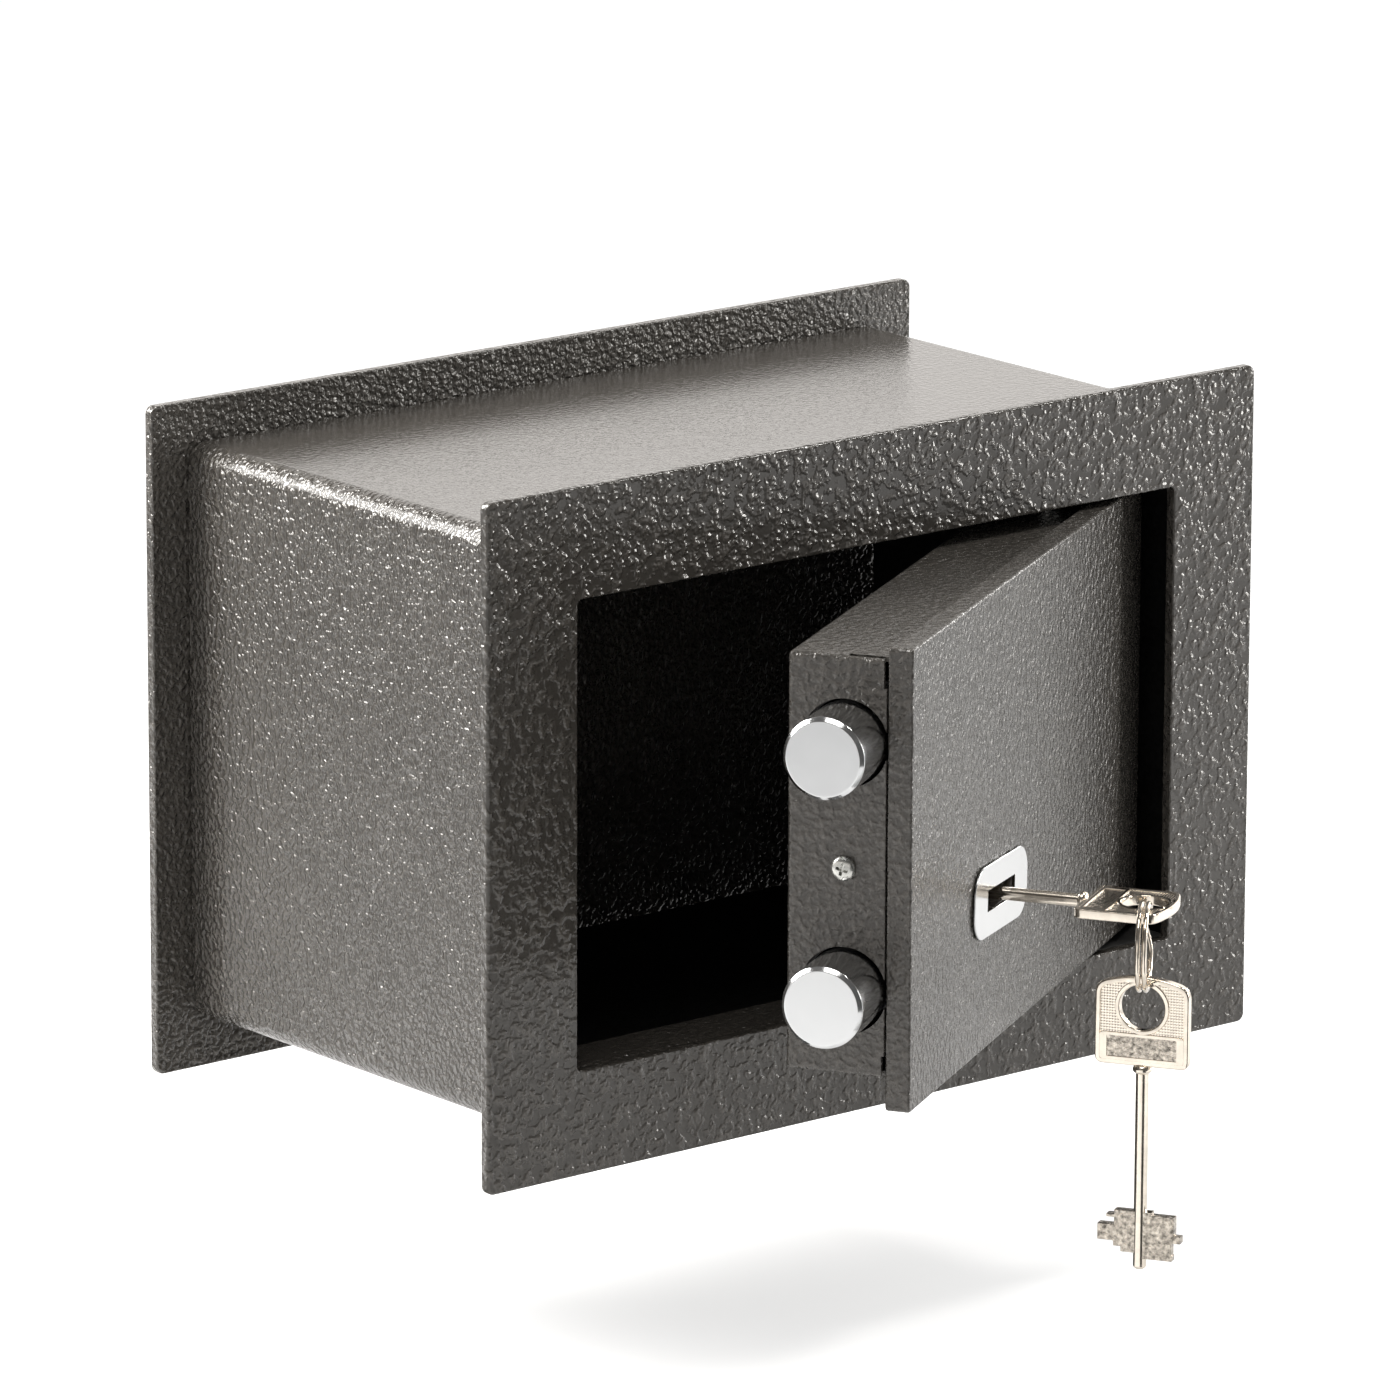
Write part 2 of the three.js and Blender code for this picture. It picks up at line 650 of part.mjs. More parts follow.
const screwHead = lidBack + seamGap;
lockScrewPlaces.forEach(([x, z], index) => place(leaf, `lock_screw_${index + 1}`, alongY(turned([
  [0, screwTip], [lockScrewRadius, screwTip], [lockScrewRadius, screwHead], [lockScrewHeadRadius, screwHead],
  [lockScrewHeadRadius, screwHead + lockScrewHeadHeight], [0, screwHead + lockScrewHeadHeight]],
smallSteps), x, z), zincSteel));

// Curtain: a disc with a barrel round the key's bit, both slotted for the key

const curtainSlotHalf = bitThickness / 2 + curtainSlotClearance;
const barrelBack = lockRim - barrelEndGap;
place(leaf, 'curtain', cut(
  alongY(turned([
    [0, doorRear + seamGap], [journalRadius, doorRear + seamGap], [journalRadius, curtainFront],
    [curtainRadius, curtainFront], [curtainRadius, curtainBack], [barrelRadius, curtainBack],
    [barrelRadius, barrelBack], [0, barrelBack]], 40), keyX, keyZ),
  box(slotX0, slotX1, doorRear - overrun, barrelBack + overrun, keyZ - curtainSlotHalf, keyZ + curtainSlotHalf),
  alongY(rod(shankRadius + curtainShankClearance, doorRear - overrun, barrelBack + overrun, smallSteps),
    keyX, keyZ)), brass);

// Lock bolt: a plate over the key's barrel, with a tongue to the bar and a stump for the levers' gates

const plateX0 = lockInsideX0 + lockBoltInset;
const plateX1 = keyX + lockBoltReach;
const lockBoltOutline = vectorShape([
  [barX0, tongueZ0], [plateX0, tongueZ0], [plateX0, keyZ + keySlotHalfHeight],
  [plateX1, keyZ + keySlotHalfHeight], [plateX1, keyZ + lockBoltUpperReach],
  [plateX0, keyZ + lockBoltUpperReach], [plateX0, tongueZ1], [barX0, tongueZ1]]);
place(leaf, 'lock_bolt', join(
  upright(lockBoltOutline, lockBoltFront, lockBoltBack),
  box(stumpX0, stumpX0 + stumpSize, lockBoltBack - joinOverlap, lockBoltBack + stumpReach,
    stumpZ0, stumpZ0 + stumpSize)), brass);

// Levers on their post, with a gate for the stump and a belly for the key

const leverX0 = keyX - leverFreeReach;
const gateX1 = leverX0 + gateLength;
const gateZ0 = stumpZ0 - gateClearance;
const gateZ1 = stumpZ0 + stumpSize + gateClearance;
const leverZ1 = keyZ + leverUpperReach;
const leverZ0 = keyZ - leverLowerReach;

function leverOutline() {
  const shape = new THREE.Shape();
  shape.moveTo(leverX0, leverZ0);
  shape.lineTo(keyX + leverHeel, leverZ0);
  shape.lineTo(postX, keyZ - leverEndRadius);
  shape.absarc(postX, keyZ, leverEndRadius, -Math.PI / 2, Math.PI / 4);
  shape.lineTo(keyX + leverShoulder, leverZ1);
  shape.lineTo(leverX0, leverZ1);
  shape.lineTo(leverX0, gateZ1);
  shape.lineTo(gateX1, gateZ1);
  shape.lineTo(gateX1, gateZ0);
  shape.lineTo(leverX0, gateZ0);
  shape.holes.push(circlePath(keyX, keyZ, bellyRadius), circlePath(postX, keyZ, postRadius + seamGap));
  return shape;
}
for (let index = 0; index < leverCount; index += 1) {
  const front = leverFront + index * leverPitch;
  place(leaf, `lever_${index + 1}`, upright(leverOutline(), front, front + leverThickness, 0, 10), brass);
}

place(leaf, 'lever_post', alongY(rod(postRadius, lockFloor + seamGap, lockRim, smallSteps), postX, keyZ), satinSteel);
place(leaf, 'lever_stop', alongY(rod(stopRadius, lockFloor + seamGap, lockRim, smallSteps),
  keyX - stopAcross, leverZ0 - seamGap - stopRadius), satinSteel);

const springX1 = keyX + springRoot;
const springX0 = springX1 - springReach;
const springZ0 = leverZ1 + seamGap;
const springZ1 = lockInsideZ1 - springTipGap;

function springOutline() {
  const shape = new THREE.Shape();
  shape.moveTo(springX1, springZ0);
  shape.lineTo(springX1, springZ0 + springThickness);
  shape.lineTo(springX1 - springFoot, springZ0 + springThickness);
  shape.quadraticCurveTo(springX0 + springFoot, springZ0 + springThickness, springX0, springZ1);
  shape.lineTo(springX0 - springThickness, springZ1);
  shape.quadraticCurveTo(springX0 + springFoot - springThickness, springZ0, springX1 - springFoot, springZ0);
  return shape;
}
for (let index = 0; index < leverCount; index += 1) {
  const front = leverFront + index * leverPitch + (leverThickness - springWidth) / 2;
  place(leaf, `lever_spring_${index + 1}`, upright(springOutline(), front, front + springWidth), satinSteel);
}

// Key, drawn upright with its bow on top: the origin is the middle of the bow's hole

const bowTop = bowHoleFromTop;
const bowBase = bowTop - bowLength;
const keyTip = bowTop - keyLength;
const bitBase = keyTip + bitFromTip;
const bitTop = bitBase + bitLength;

function bowOutline(inset, PathClass = THREE.Shape) {
  const half = bowWidth / 2 - inset;
  const base = bowBase + inset;
  const top = bowTop - inset;
  const corner = bowCornerRadius;
  const shoulder = bowShoulderRadius;
  const shoulderZ = top - bowArchRise;
  const path = new PathClass();
  path.moveTo(-half + corner, base);
  path.lineTo(half - corner, base);
  path.quadraticCurveTo(half, base, half, base + corner);
  path.lineTo(half, shoulderZ - shoulder);
  path.quadraticCurveTo(half, shoulderZ, half - shoulder, shoulderZ + shoulder / 3);
  path.quadraticCurveTo(0, top * 2 - shoulderZ - shoulder / 3, -half + shoulder, shoulderZ + shoulder / 3);
  path.quadraticCurveTo(-half, shoulderZ, -half, shoulderZ - shoulder);
  path.lineTo(-half, base + corner);
  path.quadraticCurveTo(-half, base, -half + corner, base);
  return path;
}

function bitOutline(side, shares) {
  const points = [[-side * shankRadius / 2, bitTop]];
  let from = 0;
  for (const [to, out] of shares) {
    points.push([side * bitHalfWidth * out, bitTop - bitLength * from]);
    points.push([side * bitHalfWidth * out, bitTop - bitLength * to]);
    from = to;
  }
  points.push([-side * shankRadius / 2, bitTop - bitLength * from]);
  return vectorShape(side > 0 ? points.reverse() : points);
}

function keyGeometry() {
  const bowHalf = bowThickness / 2;
  const bitHalf = bitThickness / 2;
  const bow = bowOutline(0);
  bow.holes.push(circlePath(0, 0, bowHoleRadius));
  const panelZ0 = bowBase + panelFromBase;
  const panelZ1 = panelZ0 + panelHeight;
  const field = ([y0, y1]) => cut(upright(bowOutline(bowRim), y0, y1),
    alongY(rod(bowHoleRadius + bowHoleRim, y0 - overrun, y1 + overrun), 0, 0),
    box(-panelWidth / 2, panelWidth / 2, y0 - overrun, y1 + overrun, panelZ0, panelZ1));
  const panel = ([y0, y1]) => box(-panelWidth / 2 + panelFrame, panelWidth / 2 - panelFrame, y0, y1,
    panelZ0 + panelFrame, panelZ1 - panelFrame);
  const recesses = [[-bowHalf - overrun, -bowHalf + fieldDepth], [bowHalf - fieldDepth, bowHalf + overrun]]
    .flatMap((span) => [field(span), panel(span)]);
  const stem = turned([
    [0, keyTip], [shankRadius - tipChamfer, keyTip], [shankRadius, keyTip + tipChamfer],
    [shankRadius, bowBase - collarLength], [collarRadius - collarRounding, bowBase - collarLength],
    [collarRadius, bowBase - collarLength + collarRounding], [collarRadius, bowBase - collarRounding],
    [collarRadius - collarRounding, bowBase + joinOverlap], [0, bowBase + joinOverlap]], smallSteps);
  const bits = [[1, roomSideBitShares], [-1, doorSideBitShares]]
    .map(([side, shares]) => upright(bitOutline(side, shares), -bitHalf, bitHalf));
  return join(cut(upright(bow, -bowHalf, bowHalf, 0, 8), ...recesses), stem.rotateX(Math.PI / 2), ...bits);
}

const key = place(leaf, 'key', keyGeometry(), nickel);
key.position.set(keyX, keyholeY, keyZ);
key.rotation.x = Math.PI / 2;

// Split ring: two turns of wire side by side, which change places in one jog

class SplitRing extends THREE.Curve {
  getPoint(share, target = new THREE.Vector3()) {
    const trim = THREE.MathUtils.degToRad(jogDegrees / 2 + jogEndDegrees);
    const angle = trim + share * (Math.PI * 4 - trim * 2);
    const jog = THREE.MathUtils.degToRad(jogDegrees);
    const across = THREE.MathUtils.smoothstep(angle, Math.PI * 2 - jog / 2, Math.PI * 2 + jog / 2);
    const radius = ringInnerRadius + ringWireRadius;
    return target.set(Math.cos(angle) * radius, (across - 1 / 2) * ringPitch, Math.sin(angle) * radius);
  }
}

const ringCurve = new SplitRing();
const ringSteps = ringStepsPerTurn * 2 - Math.round((jogDegrees + jogEndDegrees * 2) / 360 * ringStepsPerTurn);
const ringSection = new THREE.Shape(Array.from({ length: ringSides }, (unused, index) => {
  const angle = index / ringSides * Math.PI * 2;
  return new THREE.Vector2(Math.cos(angle) * ringWireRadius, Math.sin(angle) * ringWireRadius);
}));
const ringGeometry = new THREE.ExtrudeGeometry(ringSection, {
  steps: ringSteps, extrudePath: ringCurve, bevelEnabled: false,
});

function leastRingGap() {
  const points = ringCurve.getPoints(ringSteps * 4);
  const apart = ringStepsPerTurn * 2;
  let least = Infinity;
  for (let first = 0; first < points.length; first += 1) {
    for (let second = first + apart; second < points.length; second += 1) {
      least = Math.min(least, points[first].distanceTo(points[second]) - ringWireRadius * 2);
    }
  }
  return least;
}
const ringGap = leastRingGap();
console.log(`split ring: least gap to itself ${ringGap.toFixed(3)} mm, wanted over ${ringLeastGap} mm`);

const rimTop = bowThickness / 2;
const rimHalf = bowWidth / 2 - ringRimOffset;
const ringDrop = Math.sqrt(ringInnerRadius ** 2 - rimHalf ** 2) - rimTop - ringSeat;
const ring = place(leaf, 'split_ring', ringGeometry, nickel);
ring.position.set(keyX - ringRimOffset, keyholeY - ringTowardsTop, keyZ - ringDrop);
ring.rotation.set(0, 0, THREE.MathUtils.degToRad(ringTurnDegrees));

const ringBottom = keyZ - ringDrop - ringInnerRadius - ringWireRadius;
const spare = place(leaf, 'spare_key', key.geometry, nickel);
spare.position.set(keyX - ringRimOffset, keyholeY - ringTowardsTop, ringBottom - spareHang);
spare.rotation.z = -Math.PI / 2;

export default safe;
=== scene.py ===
"""The finished look of a small wall safe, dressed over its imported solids. Lengths are in metres."""

import json
import math

import bmesh
import bpy
import numpy as np
from bpy.props import FloatProperty, FloatVectorProperty, IntProperty, PointerProperty
from mathutils import Matrix, Vector


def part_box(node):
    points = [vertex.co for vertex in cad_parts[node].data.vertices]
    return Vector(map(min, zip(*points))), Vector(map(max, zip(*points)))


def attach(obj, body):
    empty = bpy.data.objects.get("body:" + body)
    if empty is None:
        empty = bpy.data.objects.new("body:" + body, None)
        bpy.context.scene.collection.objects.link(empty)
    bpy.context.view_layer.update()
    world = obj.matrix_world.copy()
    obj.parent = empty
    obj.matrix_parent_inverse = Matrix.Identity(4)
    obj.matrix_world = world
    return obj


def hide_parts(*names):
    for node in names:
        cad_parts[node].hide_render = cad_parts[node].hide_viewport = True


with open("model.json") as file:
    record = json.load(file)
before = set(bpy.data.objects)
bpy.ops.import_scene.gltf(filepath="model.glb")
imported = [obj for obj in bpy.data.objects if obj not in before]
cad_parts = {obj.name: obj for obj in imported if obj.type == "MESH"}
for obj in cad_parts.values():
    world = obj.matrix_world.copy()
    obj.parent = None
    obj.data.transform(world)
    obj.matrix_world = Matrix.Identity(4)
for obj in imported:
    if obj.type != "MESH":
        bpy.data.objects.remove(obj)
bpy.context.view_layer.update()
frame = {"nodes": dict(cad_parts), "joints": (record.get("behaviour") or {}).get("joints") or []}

bl_info = {
    "name": "Wall safe finish",
    "version": (1, 0, 0),
    "blender": (4, 5, 0),
    "location": "3D View > Sidebar > Safe",
    "description": "Builds the painted sheet, the chromed bolts, the keys and the studio of a wall safe",
    "category": "Object",
}

mm = 0.001
here = Matrix.Identity(4)  # the place of what isn't moved

# Sizes and places in the drawing, which is made with the door shut: X to the right, Y to the back and Z up
# from the lower left corner of the front plate's face
cabinet_width, cabinet_height, cabinet_depth = 280 * mm, 195 * mm, 155 * mm
plate_corner, rear_plate_front = 2.5 * mm, 151.7 * mm
opening_x, opening_z, opening_corner = (31.5 * mm, 249.5 * mm), (30 * mm, 163.5 * mm), 1.5 * mm
body_x, body_y, body_z = (12.2 * mm, 267.8 * mm), (3.8 * mm, 151.4 * mm), (15.2 * mm, 182.9 * mm)
body_middle = (140 * mm, 77 * mm, 99 * mm)
sill_x, sill_y, sill_z = (24 * mm, 198 * mm), (3.8 * mm, 20.8 * mm), (27 * mm, 30 * mm)
hinge_x, hinge_y, pin_radius = 219 * mm, 20 * mm, 4 * mm
door_x, door_z, door_corner, door_thickness = (34 * mm, 246 * mm), (32 * mm, 161.5 * mm), 1.5 * mm, 7.1 * mm
key_x, key_z = 112.5 * mm, 74 * mm
slot_x, slot_z, slot_corner = (100.1 * mm, 124.9 * mm), (71 * mm, 77 * mm), 0.15 * mm
cover_x, cover_y, cover_z = (34 * mm, 243 * mm), (7.4 * mm, 35.5 * mm), (41.5 * mm, 158.5 * mm)
bolt_y, bolt_heights, cover_screw_z = 19.1 * mm, (65 * mm, 134.2 * mm), 99.4 * mm
lever_pitch, lever_count = 2.6 * mm, 5

# Small lengths: how near a turned profile comes to its own axis, and the edges of what only cuts
on_axis = 0.001 * mm
cutter_edge, cutter_corner = 0.01 * mm, 0.02 * mm

# Where the drawing's cabinet and its opened door stand
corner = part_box("front_plate")[0]
cabinet_place = Matrix.Translation(corner)
door_joint = next(j for j in frame["joints"] if j["name"] == "door_swing")
hinge = Vector(door_joint["pos_m"])
door_place = (
    Matrix.Translation(hinge)
    @ Matrix.Rotation(-math.radians(door_joint["range_deg"][0]), 4, "Z")
    @ Matrix.Translation(-hinge)
    @ cabinet_place
)
along_hinge = Matrix.Translation((hinge_x, hinge_y, 0)) @ Matrix.Rotation(-math.pi / 2, 4, "Y")


# Settings that a user may change


class SafeSizes(bpy.types.PropertyGroup):
    plate_thickness: FloatProperty(
        name="Front plate", description="Thickness of the front plate",
        default=3.5 * mm, min=1 * mm, max=10 * mm, subtype="DISTANCE", unit="LENGTH")
    plate_edge: FloatProperty(
        name="Plate edge", description="Rounding of the painted plates' edges",
        default=0.55 * mm, min=0.1 * mm, max=1.5 * mm, subtype="DISTANCE", unit="LENGTH")
    fold_radius: FloatProperty(
        name="Body fold", description="Outside radius of the body's four long folds",
        default=6 * mm, min=3 * mm, max=12 * mm, subtype="DISTANCE", unit="LENGTH")
    sheet: FloatProperty(
        name="Body sheet", description="Thickness of the body's sheet",
        default=1.8 * mm, min=0.8 * mm, max=3 * mm, subtype="DISTANCE", unit="LENGTH")
    door_edge: FloatProperty(
        name="Door edge", description="Rounding of the door plate's edges",
        default=0.8 * mm, min=0.1 * mm, max=2 * mm, subtype="DISTANCE", unit="LENGTH")
    cover_sheet: FloatProperty(
        name="Cover sheet", description="Thickness of the sheet over the lock",
        default=1.4 * mm, min=0.6 * mm, max=2.5 * mm, subtype="DISTANCE", unit="LENGTH")
    bolt_radius: FloatProperty(
        name="Bolt radius", description="Radius of the two bolts",
        default=11.5 * mm, min=5 * mm, max=12 * mm, subtype="DISTANCE", unit="LENGTH")
    ring_wire: FloatProperty(
        name="Ring wire", description="Radius of the split ring's wire",
        default=0.7 * mm, min=0.3 * mm, max=0.9 * mm, subtype="DISTANCE", unit="LENGTH")
    ring_radius: FloatProperty(
        name="Ring radius", description="Radius to the middle of the split ring's wire",
        default=11.95 * mm, min=8 * mm, max=12 * mm, subtype="DISTANCE", unit="LENGTH")
    turned_steps: IntProperty(
        name="Turned steps", description="Faces round a turned piece", default=96, min=24, max=160)


class SafeFinish(bpy.types.PropertyGroup):
    paint: FloatVectorProperty(
        name="Cabinet paint", description="Hammered paint of the cabinet",
        subtype="COLOR", size=4, min=0, max=1, default=(0.050, 0.045, 0.039, 1))
    door_paint: FloatVectorProperty(
        name="Door paint", description="Hammered paint of the door and the lock's cover",
        subtype="COLOR", size=4, min=0, max=1, default=(0.053, 0.048, 0.042, 1))
    # The inside coat is dull and dark, and its extra darkness over the outside paint is painted shade for the
    # closed cabinet.
    inside_paint_and_shade: FloatVectorProperty(
        name="Inside paint", description="Dull dark coat inside the cabinet",
        subtype="COLOR", size=4, min=0, max=1, default=(0.010, 0.010, 0.010, 1))
    chrome: FloatVectorProperty(
        name="Chrome", description="Colour of the bolts and of the key's plate",
        subtype="COLOR", size=4, min=0, max=1, default=(0.71, 0.72, 0.73, 1))
    nickel: FloatVectorProperty(
        name="Nickel", description="Colour of the keys and of their ring",
        subtype="COLOR", size=4, min=0, max=1, default=(0.85, 0.775, 0.675, 1))
    brass: FloatVectorProperty(
        name="Brass", description="Colour of the lock's works",
        subtype="COLOR", size=4, min=0, max=1, default=(0.62, 0.47, 0.20, 1))
    ridge_size: FloatProperty(
        name="Ridge size", description="Distance from ridge to ridge of the hammered paint",
        default=1.6 * mm, min=0.5 * mm, max=8 * mm, subtype="DISTANCE", unit="LENGTH")
    ridge_depth: FloatProperty(
        name="Ridge depth", description="How deep the hammered paint looks",
        default=0.5 * mm, min=0, max=1 * mm, subtype="DISTANCE", unit="LENGTH")


class SafeStudio(bpy.types.PropertyGroup):
    lens: FloatProperty(
        name="Lens", description="Focal length on a 36 mm sensor, in millimetres",
        default=267.85, min=20, max=400)
    floor_level: FloatProperty(
        name="Floor level", description="Height of the floor below the middle of the safe",
        default=-0.17, min=-1, max=-0.14, subtype="DISTANCE", unit="LENGTH")
    softbox: FloatProperty(
        name="Softboxes", description="Strength of the soft lamps", default=1.0, min=0, max=4)


# Mesh making


def in_mm(*pairs):
    return [(a * mm, b * mm) for a, b in pairs]


def closed(*points):
    """A profile for turning, as (along, radius), led to near its axis at both ends."""
    return [(points[0][0], on_axis), *points, (points[-1][0], on_axis)]


def rounded_rectangle(x0, x1, z0, z1, radius, steps=8):
    """Points of an upright rectangle with round corners, counter-clockwise from the lower right corner."""
    radius = max(radius, 0.02 * mm)
    corners = [(x1 - radius, z0 + radius, -90), (x1 - radius, z1 - radius, 0),
               (x0 + radius, z1 - radius, 90), (x0 + radius, z0 + radius, 180)]
    points = []
    for x, z, start in corners:
        for i in range(steps + 1):
            a = math.radians(start + 90 * i / steps)
            points.append((x + radius * math.cos(a), z + radius * math.sin(a)))
    return points


def rectangle_outline(x0, x1, z0, z1, radius, steps=8):
    """The same rectangle as a function of how far it is drawn in."""
    return lambda inset: rounded_rectangle(
        x0 + inset, x1 - inset, z0 + inset, z1 - inset, radius - inset, steps)


def drawn_in(points, inset):
    """A closed outline drawn in by inset along its own normals."""
    p = np.array(points)
    before, after = np.roll(p, 1, axis=0), np.roll(p, -1, axis=0)
    a, b = p - before, after - p
    a /= np.linalg.norm(a, axis=1)[:, None]
    b /= np.linalg.norm(b, axis=1)[:, None]
    inward = np.stack([-(a[:, 1] + b[:, 1]), a[:, 0] + b[:, 0]], axis=1)
    inward /= np.linalg.norm(inward, axis=1)[:, None]
    lean = np.clip((inward * np.stack([-b[:, 1], b[:, 0]], axis=1)).sum(axis=1), 0.5, 1)
    return [tuple(q) for q in p + inward * (inset / lean)[:, None]]


def full_turn(steps):
    """Points round a circle of radius 1."""
    return [(math.cos(2 * math.pi * i / steps), math.sin(2 * math.pi * i / steps)) for i in range(steps)]


def rounded_face(outline, level, edge, steps=3, way=1):
    """Loops from a flat face at the level round its edge, towards the back, or with way -1 to the front."""
    turns = [math.pi / 2 * i / steps for i in range(steps + 1)]
    return [[(x, level + way * edge * (1 - math.cos(a)), z) for x, z in outline(edge * (1 - math.sin(a)))]
            for a in turns]


def edge_loops(outline, y0, y1, edge, steps=3):
    """Loops over a plate's rim from its face at y0 to its face at y1, with both edges rounded."""
    return rounded_face(outline, y0, edge, steps) + rounded_face(outline, y1, edge, steps, -1)[::-1]


def loft(bm, loops, wrap=False):
    """Joins loops of equal length by quads, with the ends closed or joined, and gives back the new points."""
    rows = [[bm.verts.new(p) for p in loop] for loop in loops]
    pairs = list(zip(rows, rows[1:])) + ([(rows[-1], rows[0])] if wrap else [])
    for a, b in pairs:
        for i in range(len(a)):
            j = (i + 1) % len(a)
            bm.faces.new((a[i], a[j], b[j], b[i]))
    if not wrap:
        bm.faces.new(rows[0][::-1])
        bm.faces.new(rows[-1])
    return [point for row in rows for point in row]


def plate(bm, outline, y0, y1, edge, steps=3):
    loft(bm, edge_loops(outline, y0, y1, edge, steps))


def holed_plate(bm, outline, hole, y0, y1, edge, hole_edge, steps=3):
    """A plate with one hole, whose outline has as many points as the plate's."""
    inner = edge_loops(lambda inset: hole(-inset), y0, y1, hole_edge, steps)
    loft(bm, edge_loops(outline, y0, y1, edge, steps) + inner[::-1], wrap=True)


def block(bm, x0, x1, y0, y1, z0, z1, edge=0.4 * mm, radius=0.5 * mm):
    plate(bm, rectangle_outline(x0, x1, z0, z1, max(radius, edge), 3), y0, y1, edge, 2)


def sharp_block(bm, x0, x1, y0, y1, z0, z1):
    """A block with next to no rounding, for cutting."""
    block(bm, x0, x1, y0, y1, z0, z1, cutter_edge, cutter_corner)


def turned(bm, profile, steps, place=here):
    """A piece turned about its own X axis. Its profile lists (along, radius) and ends near the axis."""
    first = len(bm.verts)
    loft(bm, [[(along, radius * c, radius * s) for c, s in full_turn(steps)] for along, radius in profile])
    bm.verts.ensure_lookup_table()
    bmesh.ops.transform(bm, matrix=place, verts=bm.verts[first:])


def eased(profile, edge, steps=3):
    """Rounds the corners of a turned profile, apart from its two ends."""
    out = [profile[0]]
    for before, here, after in zip(profile, profile[1:], profile[2:]):
        h, b, a = Vector(here), Vector(before), Vector(after)
        reach = min(edge, (b - h).length * 0.45, (a - h).length * 0.45)
        p, q = h + (b - h).normalized() * reach, h + (a - h).normalized() * reach
        for i in range(steps + 1):
            t = i / steps
            out.append(tuple(p * (1 - t) ** 2 + h * 2 * t * (1 - t) + q * t * t))
    return out + [profile[-1]]


def settle(obj):
    """Applies the object's modifiers, so that a plain mesh is left."""
    bpy.context.view_layer.update()
    graph = bpy.context.evaluated_depsgraph_get()
    made = bpy.data.meshes.new_from_object(
        obj.evaluated_get(graph), preserve_all_data_layers=True, depsgraph=graph)
    old = obj.data
    obj.modifiers.clear()
    obj.data = made
    made.name = obj.name
    if old.users == 0 and isinstance(old, bpy.types.Mesh):
        bpy.data.meshes.remove(old)
    return obj


def loose_object(name, bm, place=here):
    """An object from a mesh in the making, moved to its place, with its faces turned outward."""
    bm.transform(place)
    bmesh.ops.recalc_face_normals(bm, faces=bm.faces[:])
    mesh = bpy.data.meshes.new(name)
    bm.to_mesh(mesh)
    bm.free()
    obj = bpy.data.objects.new(name, mesh)
    bpy.context.scene.collection.objects.link(obj)
    return obj


def cut(obj, cutter):
    """Takes the cutter's shape out of the object. Both are in the same place."""
    carve = obj.modifiers.new("Carve", "BOOLEAN")
    carve.object = cutter
    carve.operation = "DIFFERENCE"
    carve.solver = "EXACT"
    carve.use_self = True
    settle(obj)
    bpy.data.meshes.remove(cutter.data)


def soften(obj, width, angle=50, segments=2):
    """Rounds the edges that booleans leave."""
    bevel = obj.modifiers.new("Soft edges", "BEVEL")
    bevel.width = width
    bevel.segments = segments
    bevel.limit_method = "ANGLE"
    bevel.angle_limit = math.radians(angle)
    bevel.use_clamp_overlap = True
    bevel.miter_outer = "MITER_ARC"
    settle(obj)


def shade(obj, sharp=38):
    """Smooth shading in which wide flat faces stay flat."""
    mesh = obj.data
    mesh.polygons.foreach_set("use_smooth", [True] * len(mesh.polygons))
    mesh.set_sharp_from_angle(angle=math.radians(sharp))
    weigh = obj.modifiers.new("Flat faces stay flat", "WEIGHTED_NORMAL")
    weigh.mode = "FACE_AREA"
    weigh.weight = 50
    weigh.keep_sharp = True
    return settle(obj)


def dress(obj, body, slot, materials, *nodes):
    """Gives a finished piece its materials, hides the solids that it stands for and hangs it on its body."""
    if materials:
        obj.data.materials.clear()
        for material in materials:
            obj.data.materials.append(material)
    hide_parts(*nodes)
    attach(obj, body)
    return obj


def from_solids(name, nodes, width, angle=35):
    """A softened copy of CAD solids, with their loose triangles merged and their flat faces whole again."""
    same_point, same_plane = 0.002 * mm, math.radians(0.6)
    bm = bmesh.new()
    for node in nodes:
        bm.from_mesh(frame["nodes"][node].data)
    bmesh.ops.remove_doubles(bm, verts=bm.verts[:], dist=same_point)
    bmesh.ops.dissolve_limit(
        bm, angle_limit=same_plane, use_dissolve_boundaries=False, verts=bm.verts[:], edges=bm.edges[:])
    obj = loose_object(name, bm)
    if width:
        soften(obj, width, angle)
    return obj


# Shorthand for node trees


def named_inputs(tree, inputs):
    for name, kind, default in inputs:
        socket = tree.interface.new_socket(name, in_out="INPUT", socket_type=kind)
        if default is not None:
            socket.default_value = default
    tree.interface.new_socket("Geometry", in_out="OUTPUT", socket_type="NodeSocketGeometry")


def set_inputs(modifier, values):
    """Sets a modifier's inputs by the identifiers of its tree's sockets."""
    for item in modifier.node_group.interface.items_tree:
        if item.in_out == "INPUT" and item.name in values:
            modifier[item.identifier] = values[item.name]


def node_tree(name, make):
    return bpy.data.node_groups.get(name) or make()


